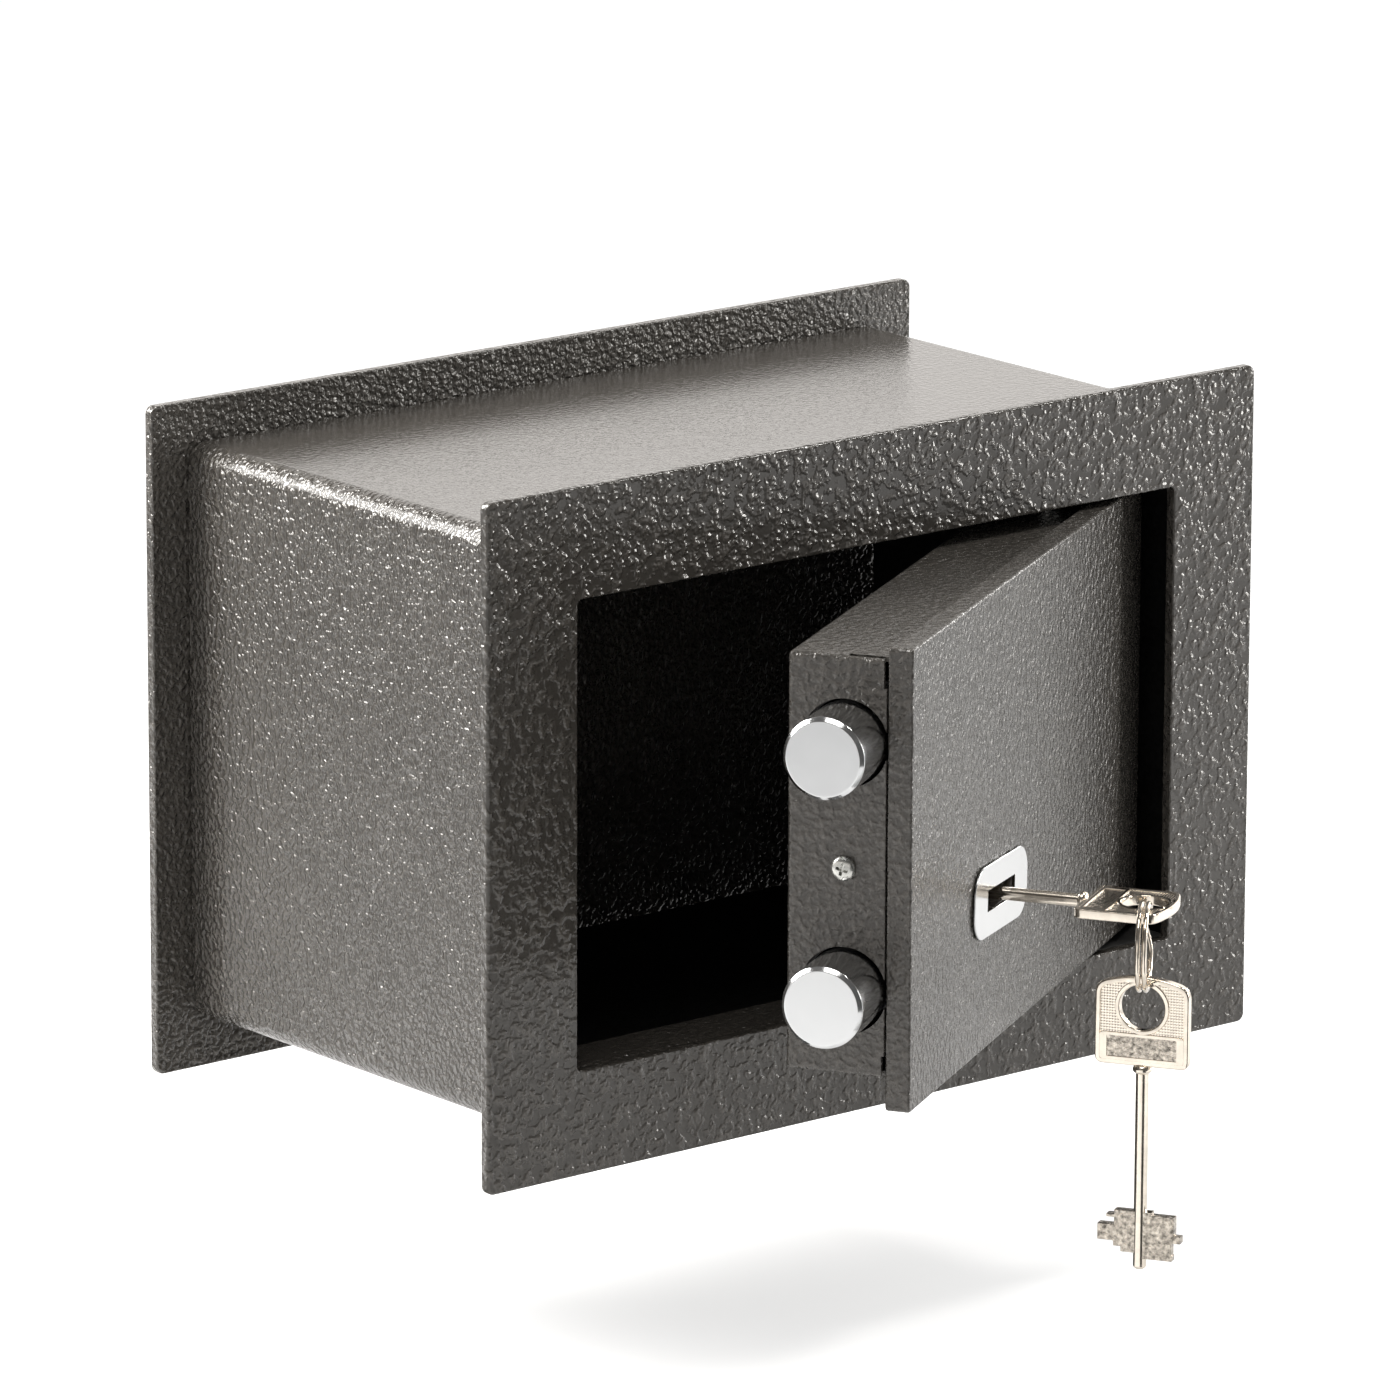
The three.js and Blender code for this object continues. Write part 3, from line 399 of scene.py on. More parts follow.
class Nodes:
    """Short hand for placing and joining nodes in a tree."""

    def __init__(self, tree):
        self.tree = tree

    def add(self, kind, inputs=None, **settings):
        node = self.tree.nodes.new(kind)
        for key, value in settings.items():
            setattr(node, key, value)
        for key, value in (inputs or {}).items():
            socket = node.inputs[key]
            if isinstance(value, bpy.types.NodeSocket):
                self.link(value, socket)
            else:
                socket.default_value = value
        return node

    def link(self, a, b):
        self.tree.links.new(a, b)

    def math(self, operation, *values):
        return self.add("ShaderNodeMath", dict(enumerate(values)), operation=operation).outputs[0]

    def noise(self, where, scale, **shape):
        return self.add("ShaderNodeTexNoise", {"Vector": where, "Scale": scale, **shape}).outputs[0]

    def ramp(self, value, start, end, low=0.0, high=1.0, interpolation="SMOOTHSTEP"):
        """Goes from low to high while the value goes from start to end."""
        return self.add("ShaderNodeMapRange", {
            "Value": value, "From Min": start, "From Max": end, "To Min": low, "To Max": high},
            interpolation_type=interpolation).outputs[0]

    def give_geometry(self, geometry, material):
        """Ends a tree with real geometry in one material."""
        real = self.add("GeometryNodeRealizeInstances", {"Geometry": geometry})
        finished = self.add("GeometryNodeSetMaterial", {"Geometry": real.outputs[0], "Material": material})
        self.link(finished.outputs[0], self.add("NodeGroupOutput").inputs[0])
        return self.tree

    def give_masks(self, height, gloss, tone):
        """Ends a group that describes a surface."""
        self.add("NodeGroupOutput", {"Height": height, "Gloss": gloss, "Tone": tone})
        return self.tree


# Shapes from Geometry Nodes


def copies_tree():
    """One copy of a pattern on each point, each with its own turn about X."""
    tree = bpy.data.node_groups.new("Copies on points", "GeometryNodeTree")
    named_inputs(tree, [
        ("Geometry", "NodeSocketGeometry", None), ("Pattern", "NodeSocketObject", None),
        ("Turn Spread", "NodeSocketFloat", 0.0), ("Seed", "NodeSocketInt", 3),
        ("Material", "NodeSocketMaterial", None)])
    n = Nodes(tree)
    given = n.add("NodeGroupInput").outputs
    pattern = n.add("GeometryNodeObjectInfo", {"Object": given["Pattern"]}, transform_space="ORIGINAL")
    turn = n.add("FunctionNodeRandomValue", {"Seed": given["Seed"]}, data_type="FLOAT")
    most = next(s for s in turn.inputs if s.name == "Max" and s.type == "VALUE")
    n.link(given["Turn Spread"], most)
    angle = next(s for s in turn.outputs if s.type == "VALUE" and s.enabled)
    spin = n.add("ShaderNodeCombineXYZ", {"X": angle})
    placed = n.add("GeometryNodeInstanceOnPoints", {
        "Points": given["Geometry"], "Instance": pattern.outputs["Geometry"], "Rotation": spin.outputs[0]})
    return n.give_geometry(placed.outputs[0], given["Material"])


def wire_ring_tree():
    """Two turns of wire side by side, which change places in one jog."""
    tree = bpy.data.node_groups.new("Split ring", "GeometryNodeTree")
    named_inputs(tree, [
        ("Ring Radius", "NodeSocketFloat", 0.01), ("Wire Radius", "NodeSocketFloat", 0.001),
        ("Pitch", "NodeSocketFloat", 0.002), ("Jog", "NodeSocketFloat", 0.8),
        ("End Gap", "NodeSocketFloat", 0.1), ("Steps", "NodeSocketInt", 200), ("Sides", "NodeSocketInt", 20),
        ("Material", "NodeSocketMaterial", None)])
    n = Nodes(tree)
    given = n.add("NodeGroupInput").outputs
    line = n.add("GeometryNodeCurvePrimitiveLine", mode="POINTS")
    fine = n.add("GeometryNodeResampleCurve", {
        "Curve": line.outputs[0], "Count": given["Steps"]}, mode="COUNT")
    share = n.add("GeometryNodeSplineParameter").outputs["Factor"]
    half_jog = n.math("MULTIPLY", given["Jog"], 0.5)
    trim = n.math("ADD", half_jog, given["End Gap"])
    sweep = n.math("SUBTRACT", 4 * math.pi, n.math("MULTIPLY", trim, 2.0))
    angle = n.math("MULTIPLY_ADD", share, sweep, trim)
    across = n.ramp(angle, n.math("SUBTRACT", 2 * math.pi, half_jog), n.math("ADD", 2 * math.pi, half_jog),
                    -0.5, 0.5)
    place = n.add("ShaderNodeCombineXYZ", {
        "X": n.math("MULTIPLY", n.math("COSINE", angle), given["Ring Radius"]),
        "Y": n.math("MULTIPLY", across, given["Pitch"]),
        "Z": n.math("MULTIPLY", n.math("SINE", angle), given["Ring Radius"])})
    coil = n.add("GeometryNodeSetPosition", {"Geometry": fine.outputs[0], "Position": place.outputs[0]})
    nearest_end = n.math("MINIMUM", share, n.math("SUBTRACT", 1.0, share))
    section = n.add("GeometryNodeCurvePrimitiveCircle", {
        "Resolution": given["Sides"], "Radius": given["Wire Radius"]})
    wire = n.add("GeometryNodeCurveToMesh", {
        "Curve": coil.outputs[0], "Profile Curve": section.outputs[0], "Fill Caps": True})
    if "Scale" in wire.inputs:
        n.link(n.ramp(nearest_end, 0.0, 0.004, 0.7, 1.0), wire.inputs["Scale"])
    return n.give_geometry(wire.outputs[0], given["Material"])


def grown(name, tree, values, points=()):
    """The plain mesh that a tree makes, on points where it wants them."""
    mesh = bpy.data.meshes.new(name)
    mesh.from_pydata([tuple(p) for p in points], [], [])
    obj = bpy.data.objects.new(name, mesh)
    bpy.context.scene.collection.objects.link(obj)
    modifier = obj.modifiers.new("Grow", "NODES")
    modifier.node_group = tree
    set_inputs(modifier, values)
    return settle(obj)


def copies(name, pattern, places, material, turn_spread=0.0):
    """Copies of a pattern object at places in its own frame. The pattern is used up."""
    made = grown(name, node_tree("Copies on points", copies_tree), {
        "Pattern": pattern, "Turn Spread": turn_spread, "Seed": 7, "Material": material}, places)
    bpy.data.meshes.remove(pattern.data)
    return made


def slotted_screw(profile, rounding, steps, slot_x0, slot_x1, half_width, half_length):
    """A screw along X with a slot across its head, to be copied."""
    bm = bmesh.new()
    turned(bm, eased(profile, rounding), steps)
    screw = loose_object("screw_pattern", bm)
    cutter = bmesh.new()
    sharp_block(cutter, slot_x0, slot_x1, -half_width, half_width, -half_length, half_length)
    cut(screw, loose_object("cutter", cutter))
    return screw


# Surfaces


def surface_group(name, values):
    """A new shader group that takes coordinates and some values, and gives a height and two masks."""
    tree = bpy.data.node_groups.new(name, "ShaderNodeTree")
    face = tree.interface
    face.new_socket("Coordinates", in_out="INPUT", socket_type="NodeSocketVector")
    for key, default in values.items():
        face.new_socket(key, in_out="INPUT", socket_type="NodeSocketFloat").default_value = default
    for key in ("Height", "Gloss", "Tone"):
        face.new_socket(key, in_out="OUTPUT", socket_type="NodeSocketFloat")
    n = Nodes(tree)
    return n, n.add("NodeGroupInput").outputs


def metal_grain_group():
    """Fine unevenness of a metal surface: its height, a mask for the gloss and one for the colour."""
    n, given = surface_group("Metal grain", {"Grain Size": 0.4 * mm, "Patch Size": 10 * mm})
    where = given["Coordinates"]
    fine = n.noise(where, n.math("DIVIDE", 1.0, given["Grain Size"]), Detail=3.0)
    broad = n.noise(where, n.math("DIVIDE", 1.0, given["Patch Size"]), Detail=4.0, Roughness=0.6)
    gloss = n.math("MULTIPLY_ADD", fine, 0.4, n.math("MULTIPLY", broad, 0.6))
    return n.give_masks(fine, gloss, broad)


def dotted_group():
    """Rows of small raised dots on every face that lies square to the turned axes, the dots lighter than the
    field as a painted highlight.
    """
    n, given = surface_group("Rows of dots", {"Pitch": 0.6 * mm, "Turn": 0.0})
    where = given["Coordinates"]
    square_on = n.add("ShaderNodeVectorRotate", {
        "Vector": where, "Angle": given["Turn"]}, rotation_type="Z_AXIS")
    scale = n.math("DIVIDE", 1.0, given["Pitch"])
    turns = n.add("ShaderNodeVectorMath", {
        0: square_on.outputs[0], "Scale": n.math("MULTIPLY", scale, 2 * math.pi)}, operation="SCALE")
    waves = n.add("ShaderNodeVectorMath", {0: turns.outputs[0]}, operation="SINE")
    crests = n.add("ShaderNodeVectorMath", {0: waves.outputs[0], 1: (1, 1, 1)}, operation="DOT_PRODUCT")
    dot = n.ramp(crests.outputs["Value"], -1.5, 2.0)
    worn = n.noise(where, n.math("MULTIPLY", scale, 0.4))
    # The raised dots are lighter than the field between them: a painted highlight, mixed with wear that
    # differs at random.
    tone = n.math("MULTIPLY_ADD", dot, 0.4, n.math("MULTIPLY", worn, 0.7))
    return n.give_masks(dot, worn, tone)


def hammer_group():
    """Hammered paint: rounded ridges that wind about, with smaller grains on them, and a colour tone that is
    darker in the hollows as painted shade.
    """
    n, given = surface_group(
        "Hammered skin", {"Ridge Size": 2.6 * mm, "Grain Share": 0.4, "Winding": 0.5, "Flats": 0.25})
    where, ridge_size = given["Coordinates"], given["Ridge Size"]
    scale = n.math("DIVIDE", 1.0, ridge_size)
    warp = n.add("ShaderNodeTexNoise", {
        "Vector": where, "Scale": n.math("MULTIPLY", scale, 0.7), "Detail": 1.0})
    push = n.add("ShaderNodeVectorMath", {0: warp.outputs["Color"], 1: (0.5, 0.5, 0.5)}, operation="SUBTRACT")
    sized = n.add("ShaderNodeVectorMath", {
        0: push.outputs[0], "Scale": n.math("MULTIPLY", ridge_size, given["Winding"])}, operation="SCALE")
    moved = n.add("ShaderNodeVectorMath", {0: where, 1: sized.outputs[0]}, operation="ADD").outputs[0]
    ridge = n.ramp(n.noise(moved, scale, Detail=1.0, Roughness=0.4), given["Flats"], 0.8)
    grain = n.noise(moved, n.math("MULTIPLY", scale, 2.4), Detail=1.0)
    height = n.math("MULTIPLY_ADD", grain, given["Grain Share"], ridge)
    patch = n.noise(where, 28.0, Detail=3.0)
    # The tone follows the height, so the hollows between the ridges get painted shade; the patches add tone
    # that differs at random.
    tone = n.math("MULTIPLY_ADD", height, 0.6, n.math("MULTIPLY", patch, 0.4))
    return n.give_masks(height, grain, tone)


def scaled(colour, amount):
    return (colour[0] * amount, colour[1] * amount, colour[2] * amount, 1)


def skin(name, group, inputs, colours, gloss, bump, **shader):
    """A material whose colour, gloss and relief come from one of the groups above.

    Colours are the dark and the light one, gloss both ends of the roughness, bump a strength and a depth.
    """
    known = bpy.data.materials.get(name)
    if known:
        return known
    material = bpy.data.materials.new(name)
    material.use_nodes = True
    n = Nodes(material.node_tree)
    main = material.node_tree.nodes["Principled BSDF"]
    where = n.add("ShaderNodeTexCoord").outputs["Object"]
    effect = n.add("ShaderNodeGroup", node_tree=group)
    n.link(where, effect.inputs["Coordinates"])
    for key, value in inputs.items():
        effect.inputs[key].default_value = value
    # The colour runs from the dark to the light one with the group's tone, which holds painted shade and
    # highlight for the hammered and dotted groups.
    colour = n.add("ShaderNodeMix", data_type="RGBA")
    n.link(n.ramp(effect.outputs["Tone"], 0.3, 0.8, interpolation="LINEAR"), colour.inputs[0])
    colour.inputs[6].default_value, colour.inputs[7].default_value = colours
    n.link(colour.outputs[2], main.inputs["Base Color"])
    rough = n.ramp(effect.outputs["Gloss"], 0.3, 0.7, *gloss, interpolation="LINEAR")
    n.link(rough, main.inputs["Roughness"])
    relief = n.add("ShaderNodeBump", {"Strength": bump[0], "Distance": bump[1]})
    n.link(effect.outputs["Height"], relief.inputs["Height"])
    n.link(relief.outputs[0], main.inputs["Normal"])
    for key, value in shader.items():
        main.inputs[key.replace("_", " ")].default_value = value
    return material


# Paints


def look():
    return bpy.context.scene.safe_finish


def hammered(name, colour, shades, coarse, deep, strength, pattern, gloss, **shader):
    """A hammered paint, whose ridges are coarser and deeper than the settings say by two factors."""
    # The two shades are the dark and the light end of the colour; with the hammered skin the dark end falls
    # in the hollows as painted shade.
    return skin(
        name, node_tree("Hammered skin", hammer_group), {"Ridge Size": look().ridge_size * coarse, **pattern},
        [scaled(colour, amount) for amount in shades], gloss, (strength, look().ridge_depth * deep), **shader)


def cabinet_coat(name, coarse, deep, flats):
    return hammered(
        name, look().paint, (0.8, 1.25), coarse, deep, 1.0,
        {"Grain Share": 0.1, "Winding": 0.6, "Flats": flats}, (0.14, 0.2),
        Metallic=0.15, Coat_Weight=0.25, Coat_Roughness=0.15, Specular_IOR_Level=0.6)


def cabinet_paint():
    return cabinet_coat("Hammered cabinet paint", 1.0, 1.1, 0.25)


def front_plate_paint():
    return cabinet_coat("Hammered front plate paint", 1.3, 0.95, 0.36)


def body_top_paint():
    """The body's top, whose paint has run almost flat."""
    return cabinet_coat("Hammered body top paint", 0.8, 0.16, 0.25)


def door_paint():
    return hammered(
        "Hammered door paint", look().door_paint, (0.8, 1.25), 1.15, 0.85, 1.0,
        {"Grain Share": 0.12, "Winding": 0.7, "Flats": 0.3}, (0.24, 0.34),
        Metallic=0.15, Coat_Weight=0.2, Coat_Roughness=0.2, Specular_IOR_Level=0.6)


# A dull dark coat inside the body, made darker than the outside paint partly as painted shade.
def inside_paint_and_shade():
    return hammered(
        "Inside paint", look().inside_paint_and_shade, (0.7, 1.3), 1.0, 0.5, 0.3,
        {"Grain Share": 0.3, "Winding": 0.8}, (0.62, 0.75), Specular_IOR_Level=0.15)


# Metals


def metal(name, grain, patch, colours, gloss, bump, metallic=1.0):
    """A metal with grains and patches of the given sizes."""
    return skin(name, node_tree("Metal grain", metal_grain_group), {"Grain Size": grain, "Patch Size": patch},
                colours, gloss, bump, Metallic=metallic)


def spread(colour, low, high):
    return scaled(colour, low), scaled(colour, high)


def chrome():
    return metal("Chrome", 0.3 * mm, 6 * mm, spread(look().chrome, 0.96, 1.02), (0.10, 0.2),
                 (0.05, 0.02 * mm))


def key_plate_chrome():
    return metal("Key plate chrome", 0.3 * mm, 6 * mm, spread(look().chrome, 0.76, 0.84), (0.12, 0.22),
                 (0.05, 0.02 * mm))


def nickel():
    return metal("Nickel", 0.5 * mm, 3 * mm, spread(look().nickel, 0.85, 1.1), (0.09, 0.2), (0.15, 0.03 * mm))


def stippled_nickel():
    """The sunk field of a key's bow, with rows of dots that follow the opened door."""
    turn = math.radians(door_joint["range_deg"][0])
    return skin("Stippled nickel", node_tree("Rows of dots", dotted_group), {"Pitch": 0.8 * mm, "Turn": turn},
                spread(look().nickel, 0.78, 1.15), (0.12, 0.26), (0.8, 0.12 * mm), Metallic=1.0)


def cast_nickel():
    return metal("Cast nickel", 1.1 * mm, 1.3 * mm, spread(look().nickel, 0.1, 1.17), (0.1, 0.3),
                 (1.0, 0.35 * mm))


def zinc():
    return metal("Zinc", 0.6 * mm, 5 * mm, ((0.46, 0.46, 0.44, 1), (0.66, 0.66, 0.63, 1)), (0.18, 0.34),
                 (0.25, 0.04 * mm))


def ground_steel():
    return metal("Ground steel", 0.4 * mm, 8 * mm, ((0.46, 0.46, 0.45, 1), (0.58, 0.58, 0.57, 1)),
                 (0.28, 0.42), (0.2, 0.03 * mm))


def dark_steel():
    return metal("Dark steel", 0.7 * mm, 7 * mm, ((0.045, 0.044, 0.043, 1), (0.085, 0.083, 0.08, 1)),
                 (0.42, 0.6), (0.3, 0.05 * mm), metallic=0.7)


def brass():
    return metal("Brass", 0.5 * mm, 6 * mm, spread(look().brass, 0.85, 1.08), (0.26, 0.42), (0.2, 0.03 * mm))


def repaint(obj, material, test):
    """Gives the faces that pass the test another material."""
    obj.data.materials.append(material)
    for face in obj.data.polygons:
        if test(face.center, face.normal):
            face.material_index = len(obj.data.materials) - 1


# Cabinet


class SAFE_OT_plates(bpy.types.Operator):
    """Builds the front plate with its opening, and the rear plate"""

    bl_idname = "safe.plates"
    bl_label = "Front and rear plates"

    def execute(self, context):
        size = context.scene.safe_sizes
        outline = rectangle_outline(0, cabinet_width, 0, cabinet_height, plate_corner)
        opening = rectangle_outline(*opening_x, *opening_z, opening_corner)
        bm = bmesh.new()
        holed_plate(bm, outline, opening, 0, size.plate_thickness, size.plate_edge * 1.6, size.plate_edge, 5)
        front = shade(loose_object("painted_front_plate", bm, cabinet_place))
        dress(front, "cabinet", "cabinet_paint", [front_plate_paint()], "front_plate")
        bm = bmesh.new()
        plate(bm, outline, rear_plate_front, cabinet_depth, size.plate_edge)
        rear = shade(loose_object("painted_rear_plate", bm, cabinet_place))
        dress(rear, "cabinet", "cabinet_paint", [cabinet_paint()], "rear_plate")
        return {"FINISHED"}


class SAFE_OT_body(bpy.types.Operator):
    """Builds the folded body and the strip behind the opening's lower edge"""

    bl_idname = "safe.body"
    bl_label = "Folded body"

    def execute(self, context):
        size = context.scene.safe_sizes
        edge, fold_steps = 0.35 * mm, 12
        (x0, x1), (z0, z1), s = body_x, body_z, size.sheet
        outside = rectangle_outline(x0, x1, z0, z1, size.fold_radius, fold_steps)
        inside = rectangle_outline(x0 + s, x1 - s, z0 + s, z1 - s, size.fold_radius - s, fold_steps)
        bm = bmesh.new()
        holed_plate(bm, outside, inside, *body_y, edge, edge)
        body = shade(loose_object("folded_body", bm, cabinet_place))
        dress(body, "cabinet", "cabinet_paint", [cabinet_paint()], "body_shell")
        middle = cabinet_place @ Vector(body_middle)
        # The body's inner faces take the dark inside coat, partly painted shade inside the cabinet.
        repaint(body, inside_paint_and_shade(),
                lambda centre, normal: (middle - centre).dot(normal) > 0 and abs(normal.y) < 0.5)
        repaint(body, body_top_paint(),
                lambda centre, normal: (middle - centre).dot(normal) < 0 and normal.z > 0.99)
        bm = bmesh.new()
        block(bm, *sill_x, *sill_y, *sill_z)
        sill = shade(loose_object("painted_sill", bm, cabinet_place))
        dress(sill, "cabinet", "cabinet_paint", [cabinet_paint()], "sill_strip")
        return {"FINISHED"}


class SAFE_OT_hinge(bpy.types.Operator):
    """Builds the brackets, blocks, pins and washer of the hinge"""

    bl_idname = "safe.hinge"
    bl_label = "Hinge"

    def execute(self, context):
        steps = context.scene.safe_sizes.turned_steps
        for name, body, nodes, edge in (
                ("hinge_brackets", "cabinet", ("hinge_bracket_lower", "hinge_bracket_upper"), 0.35 * mm),
                ("hinge_blocks", "door", ("hinge_block_lower", "hinge_block_upper"), 0.4 * mm)):
            dress(shade(from_solids(name, nodes, edge)), body, "dark_steel", [dark_steel()], *nodes)
        for name, node, low, high in (("lower_pin", "hinge_pin_lower", 27 * mm, 58 * mm),
                                      ("upper_pin", "hinge_pin_upper", 131.8 * mm, 166.8 * mm)):
            bm = bmesh.new()
            turned(bm, eased(closed((low, pin_radius), (high, pin_radius)), 0.5 * mm), steps, along_hinge)
            pin = shade(loose_object(name, bm, cabinet_place))
            dress(pin, "cabinet", "satin_steel", [ground_steel()], node)
        self.washer(steps)
        return {"FINISHED"}

    @staticmethod
    def washer(steps):
        profile = eased(in_mm((30.3, 4.31), (30.3, 8), (32.7, 8), (32.7, 4.31)), 0.3 * mm)
        bm = bmesh.new()
        loft(bm, [[(hinge_x + r * c, hinge_y + r * s, z) for c, s in full_turn(steps)] for z, r in profile],
             wrap=True)
        washer = shade(loose_object("hinge_disc", bm, cabinet_place))
        dress(washer, "cabinet", "brass", [brass()], "hinge_washer")


# Door


def key_slot(inset):
    (x0, x1), (z0, z1) = slot_x, slot_z
    return rounded_rectangle(x0 + inset, x1 - inset, z0 + inset, z1 - inset, slot_corner)


def key_plate_outline(inset):
    """Round corners and slightly swelling sides, with as many points as the key's slot has."""
    half_x, half_z, radius, bulge = 24 * mm - inset, 10.5 * mm - inset, 7 * mm, 0.7 * mm
    points = []
    for x, z in rounded_rectangle(-half_x + bulge, half_x - bulge, -half_z + bulge, half_z - bulge,
                                  radius - inset):
        swell_x = bulge * max(0.0, 1 - (z / half_z) ** 2)
        swell_z = bulge * max(0.0, 1 - (x / half_x) ** 2)
        points.append((key_x + x + math.copysign(swell_x, x), key_z + z + math.copysign(swell_z, z)))
    return points


class SAFE_OT_door(bpy.types.Operator):
    """Builds the door plate and the bright plate round its keyhole"""

    bl_idname = "safe.door"
    bl_label = "Door plate"

    def execute(self, context):
        size = context.scene.safe_sizes
        bm = bmesh.new()
        holed_plate(bm, rectangle_outline(*door_x, *door_z, door_corner), key_slot, 0, door_thickness,
                    size.door_edge, 0.15 * mm, 4)
        leaf = shade(loose_object("painted_door", bm, door_place))
        dress(leaf, "door", "door_paint", [door_paint()], "door_plate")
        face, back, lean = -0.9 * mm, -0.3 * mm, math.radians(3.4)
        bm = bmesh.new()
        holed_plate(bm, key_plate_outline, key_slot, face, back, 0.25 * mm, 0.1 * mm, 4)
        middle = Matrix.Translation((key_x, 0, key_z))
        askew = middle @ Matrix.Rotation(lean, 4, "Y") @ middle.inverted()
        mask = shade(loose_object("key_plate", bm, door_place @ askew))
        dress(mask, "door", "chrome", [key_plate_chrome()], "escutcheon")
        return {"FINISHED"}


class SAFE_OT_cover(bpy.types.Operator):
    """Builds the folded cover over the lock, with its holes and slits, and the screw that holds it"""

    bl_idname = "safe.cover"
    bl_label = "Lock cover"

    def execute(self, context):
        cover = self.tray(context.scene.safe_sizes.cover_sheet)
        cut(cover, self.holes())
        cut(cover, self.notches())
        soften(cover, 0.16 * mm, 55)
        cover.data.transform(door_place)
        shade(cover)
        dress(cover, "door", "door_paint", [door_paint()], "lock_cover")
        self.screw()
        return {"FINISHED"}

    @staticmethod
    def tray(sheet):
        """A tray that is open to the front, with rounded bends outside and inside."""
        bend, edge, steps = 1.6 * mm, 0.3 * mm, 6
        small_bend = bend - sheet
        (x0, x1), (front, back), (z0, z1) = cover_x, cover_y, cover_z
        outside = rectangle_outline(x0, x1, z0, z1, bend, steps)
        inside = rectangle_outline(x0 + sheet, x1 - sheet, z0 + sheet, z1 - sheet, small_bend, steps)
        outer_bend = rounded_face(outside, back, bend, steps, -1)
        outer_rim = rounded_face(outside, front, edge)[::-1]
        inner_rim = rounded_face(lambda inset: inside(-inset), front, edge)
        inner_bend = rounded_face(inside, back - sheet, small_bend, steps, -1)[::-1]
        bm = bmesh.new()
        loft(bm, outer_bend + outer_rim + inner_rim + inner_bend)
        return loose_object("lock_tray", bm)

    @staticmethod
    def holes():
        """The holes for bolts, cover screw, hinge block and hinge pin, and the slits at two corners."""
        bores = [(12.3 * mm, z, 96) for z in bolt_heights] + [(2.3 * mm, cover_screw_z, 32)]
        cutter = bmesh.new()
        for radius, z, steps in bores:
            turned(cutter, closed((33 * mm, radius), (36.5 * mm, radius)), steps,
                   Matrix.Translation((0, bolt_y, z)))
        sharp_block(cutter, 209.5 * mm, 228.5 * mm, 6 * mm, 29.5 * mm, 40 * mm, 44 * mm)
        turned(cutter, closed(*in_mm((156, 5), (160, 5))), 48, along_hinge)
        for low, high in in_mm((156.5, 160), (40, 43.2)):
            sharp_block(cutter, 34.8 * mm, 36.3 * mm, 6 * mm, 18.4 * mm, low, high)
        return loose_object("cutter", cutter)

    @staticmethod
    def notches():
        """What is open at the free edge, next to the door plate."""
        cutter = bmesh.new()
        for low, high in in_mm((150, 160), (40, 47.5)):
            sharp_block(cutter, 33 * mm, 36.2 * mm, 6 * mm, 8.2 * mm, low, high)
        return loose_object("cutter", cutter)

    @staticmethod
    def screw():
        """A round head with a tapering cross, turned a little as a hand would leave it."""
        head = closed(*in_mm((31.7, 1.0), (31.85, 2.1), (32.3, 2.95), (33.0, 3.45), (33.65, 3.5), (33.7, 2),
                             (45.7, 2)))
        bm = bmesh.new()
        turned(bm, eased(head, 0.35 * mm, 4), 64)
        screw = loose_object("cross_screw", bm)
        cutter = bmesh.new()
        for turn in (0, math.pi / 2):
            first = len(cutter.verts)
            wide, deep = (31 * mm, 2.1 * mm, 0.5 * mm), (33.1 * mm, 1.15 * mm, 0.32 * mm)
            loft(cutter, [[(x, -a, -b), (x, a, -b), (x, a, b), (x, -a, b)] for x, a, b in (wide, deep)])
            cutter.verts.ensure_lookup_table()
            bmesh.ops.rotate(cutter, verts=cutter.verts[first:], matrix=Matrix.Rotation(turn, 3, "X"))
        cut(screw, loose_object("cutter", cutter))
        soften(screw, 0.08 * mm, 50)
        place = Matrix.Translation((0, bolt_y, cover_screw_z)) @ Matrix.Rotation(0.25, 4, "X")
        screw.data.transform(door_place @ place)
        dress(shade(screw), "door", "zinc_steel", [zinc()], "cover_screw")


class SAFE_OT_bolts(bpy.types.Operator):
    """Builds the two chromed bolts, the bar that joins them and its screws"""

    bl_idname = "safe.bolts"
    bl_label = "Bolts"

    def execute(self, context):
        size = context.scene.safe_sizes
        r, places = size.bolt_radius, [(0, bolt_y, z) for z in bolt_heights]
        bolt = closed((15 * mm, r - 1.1 * mm), (16.1 * mm, r), (59.4 * mm, r), (60 * mm, r - 0.6 * mm))
        bm = bmesh.new()
        turned(bm, eased(bolt, 0.18 * mm), size.turned_steps)
        bolts = copies("chromed_bolts", loose_object("bolt_pattern", bm), places, chrome())
        bolts.data.transform(door_place)
        dress(shade(bolts), "bolt_work", "chrome", [chrome()], "bolt_lower", "bolt_upper")
        bar = shade(from_solids("joining_bar", ["bolt_bar"], 0.4 * mm))
        dress(bar, "bolt_work", "dark_steel", [dark_steel()], "bolt_bar")
        slider = shade(from_solids("sliding_plate", ["lock_bolt"], 0.2 * mm))
        dress(slider, "bolt_work", "brass", [brass()], "lock_bolt")
        screw = slotted_screw(closed(*in_mm((47.3, 3), (61.8, 3), (64.3, 5.5))), 0.2 * mm, 48,
                              63.3 * mm, 65 * mm, 0.6 * mm, 7 * mm)
        screws = copies("bar_screws", screw, places, zinc())
        screws.data.transform(door_place)
        dress(shade(screws), "bolt_work", "zinc_steel", [zinc()], "bar_screw_1", "bar_screw_2")
        return {"FINISHED"}


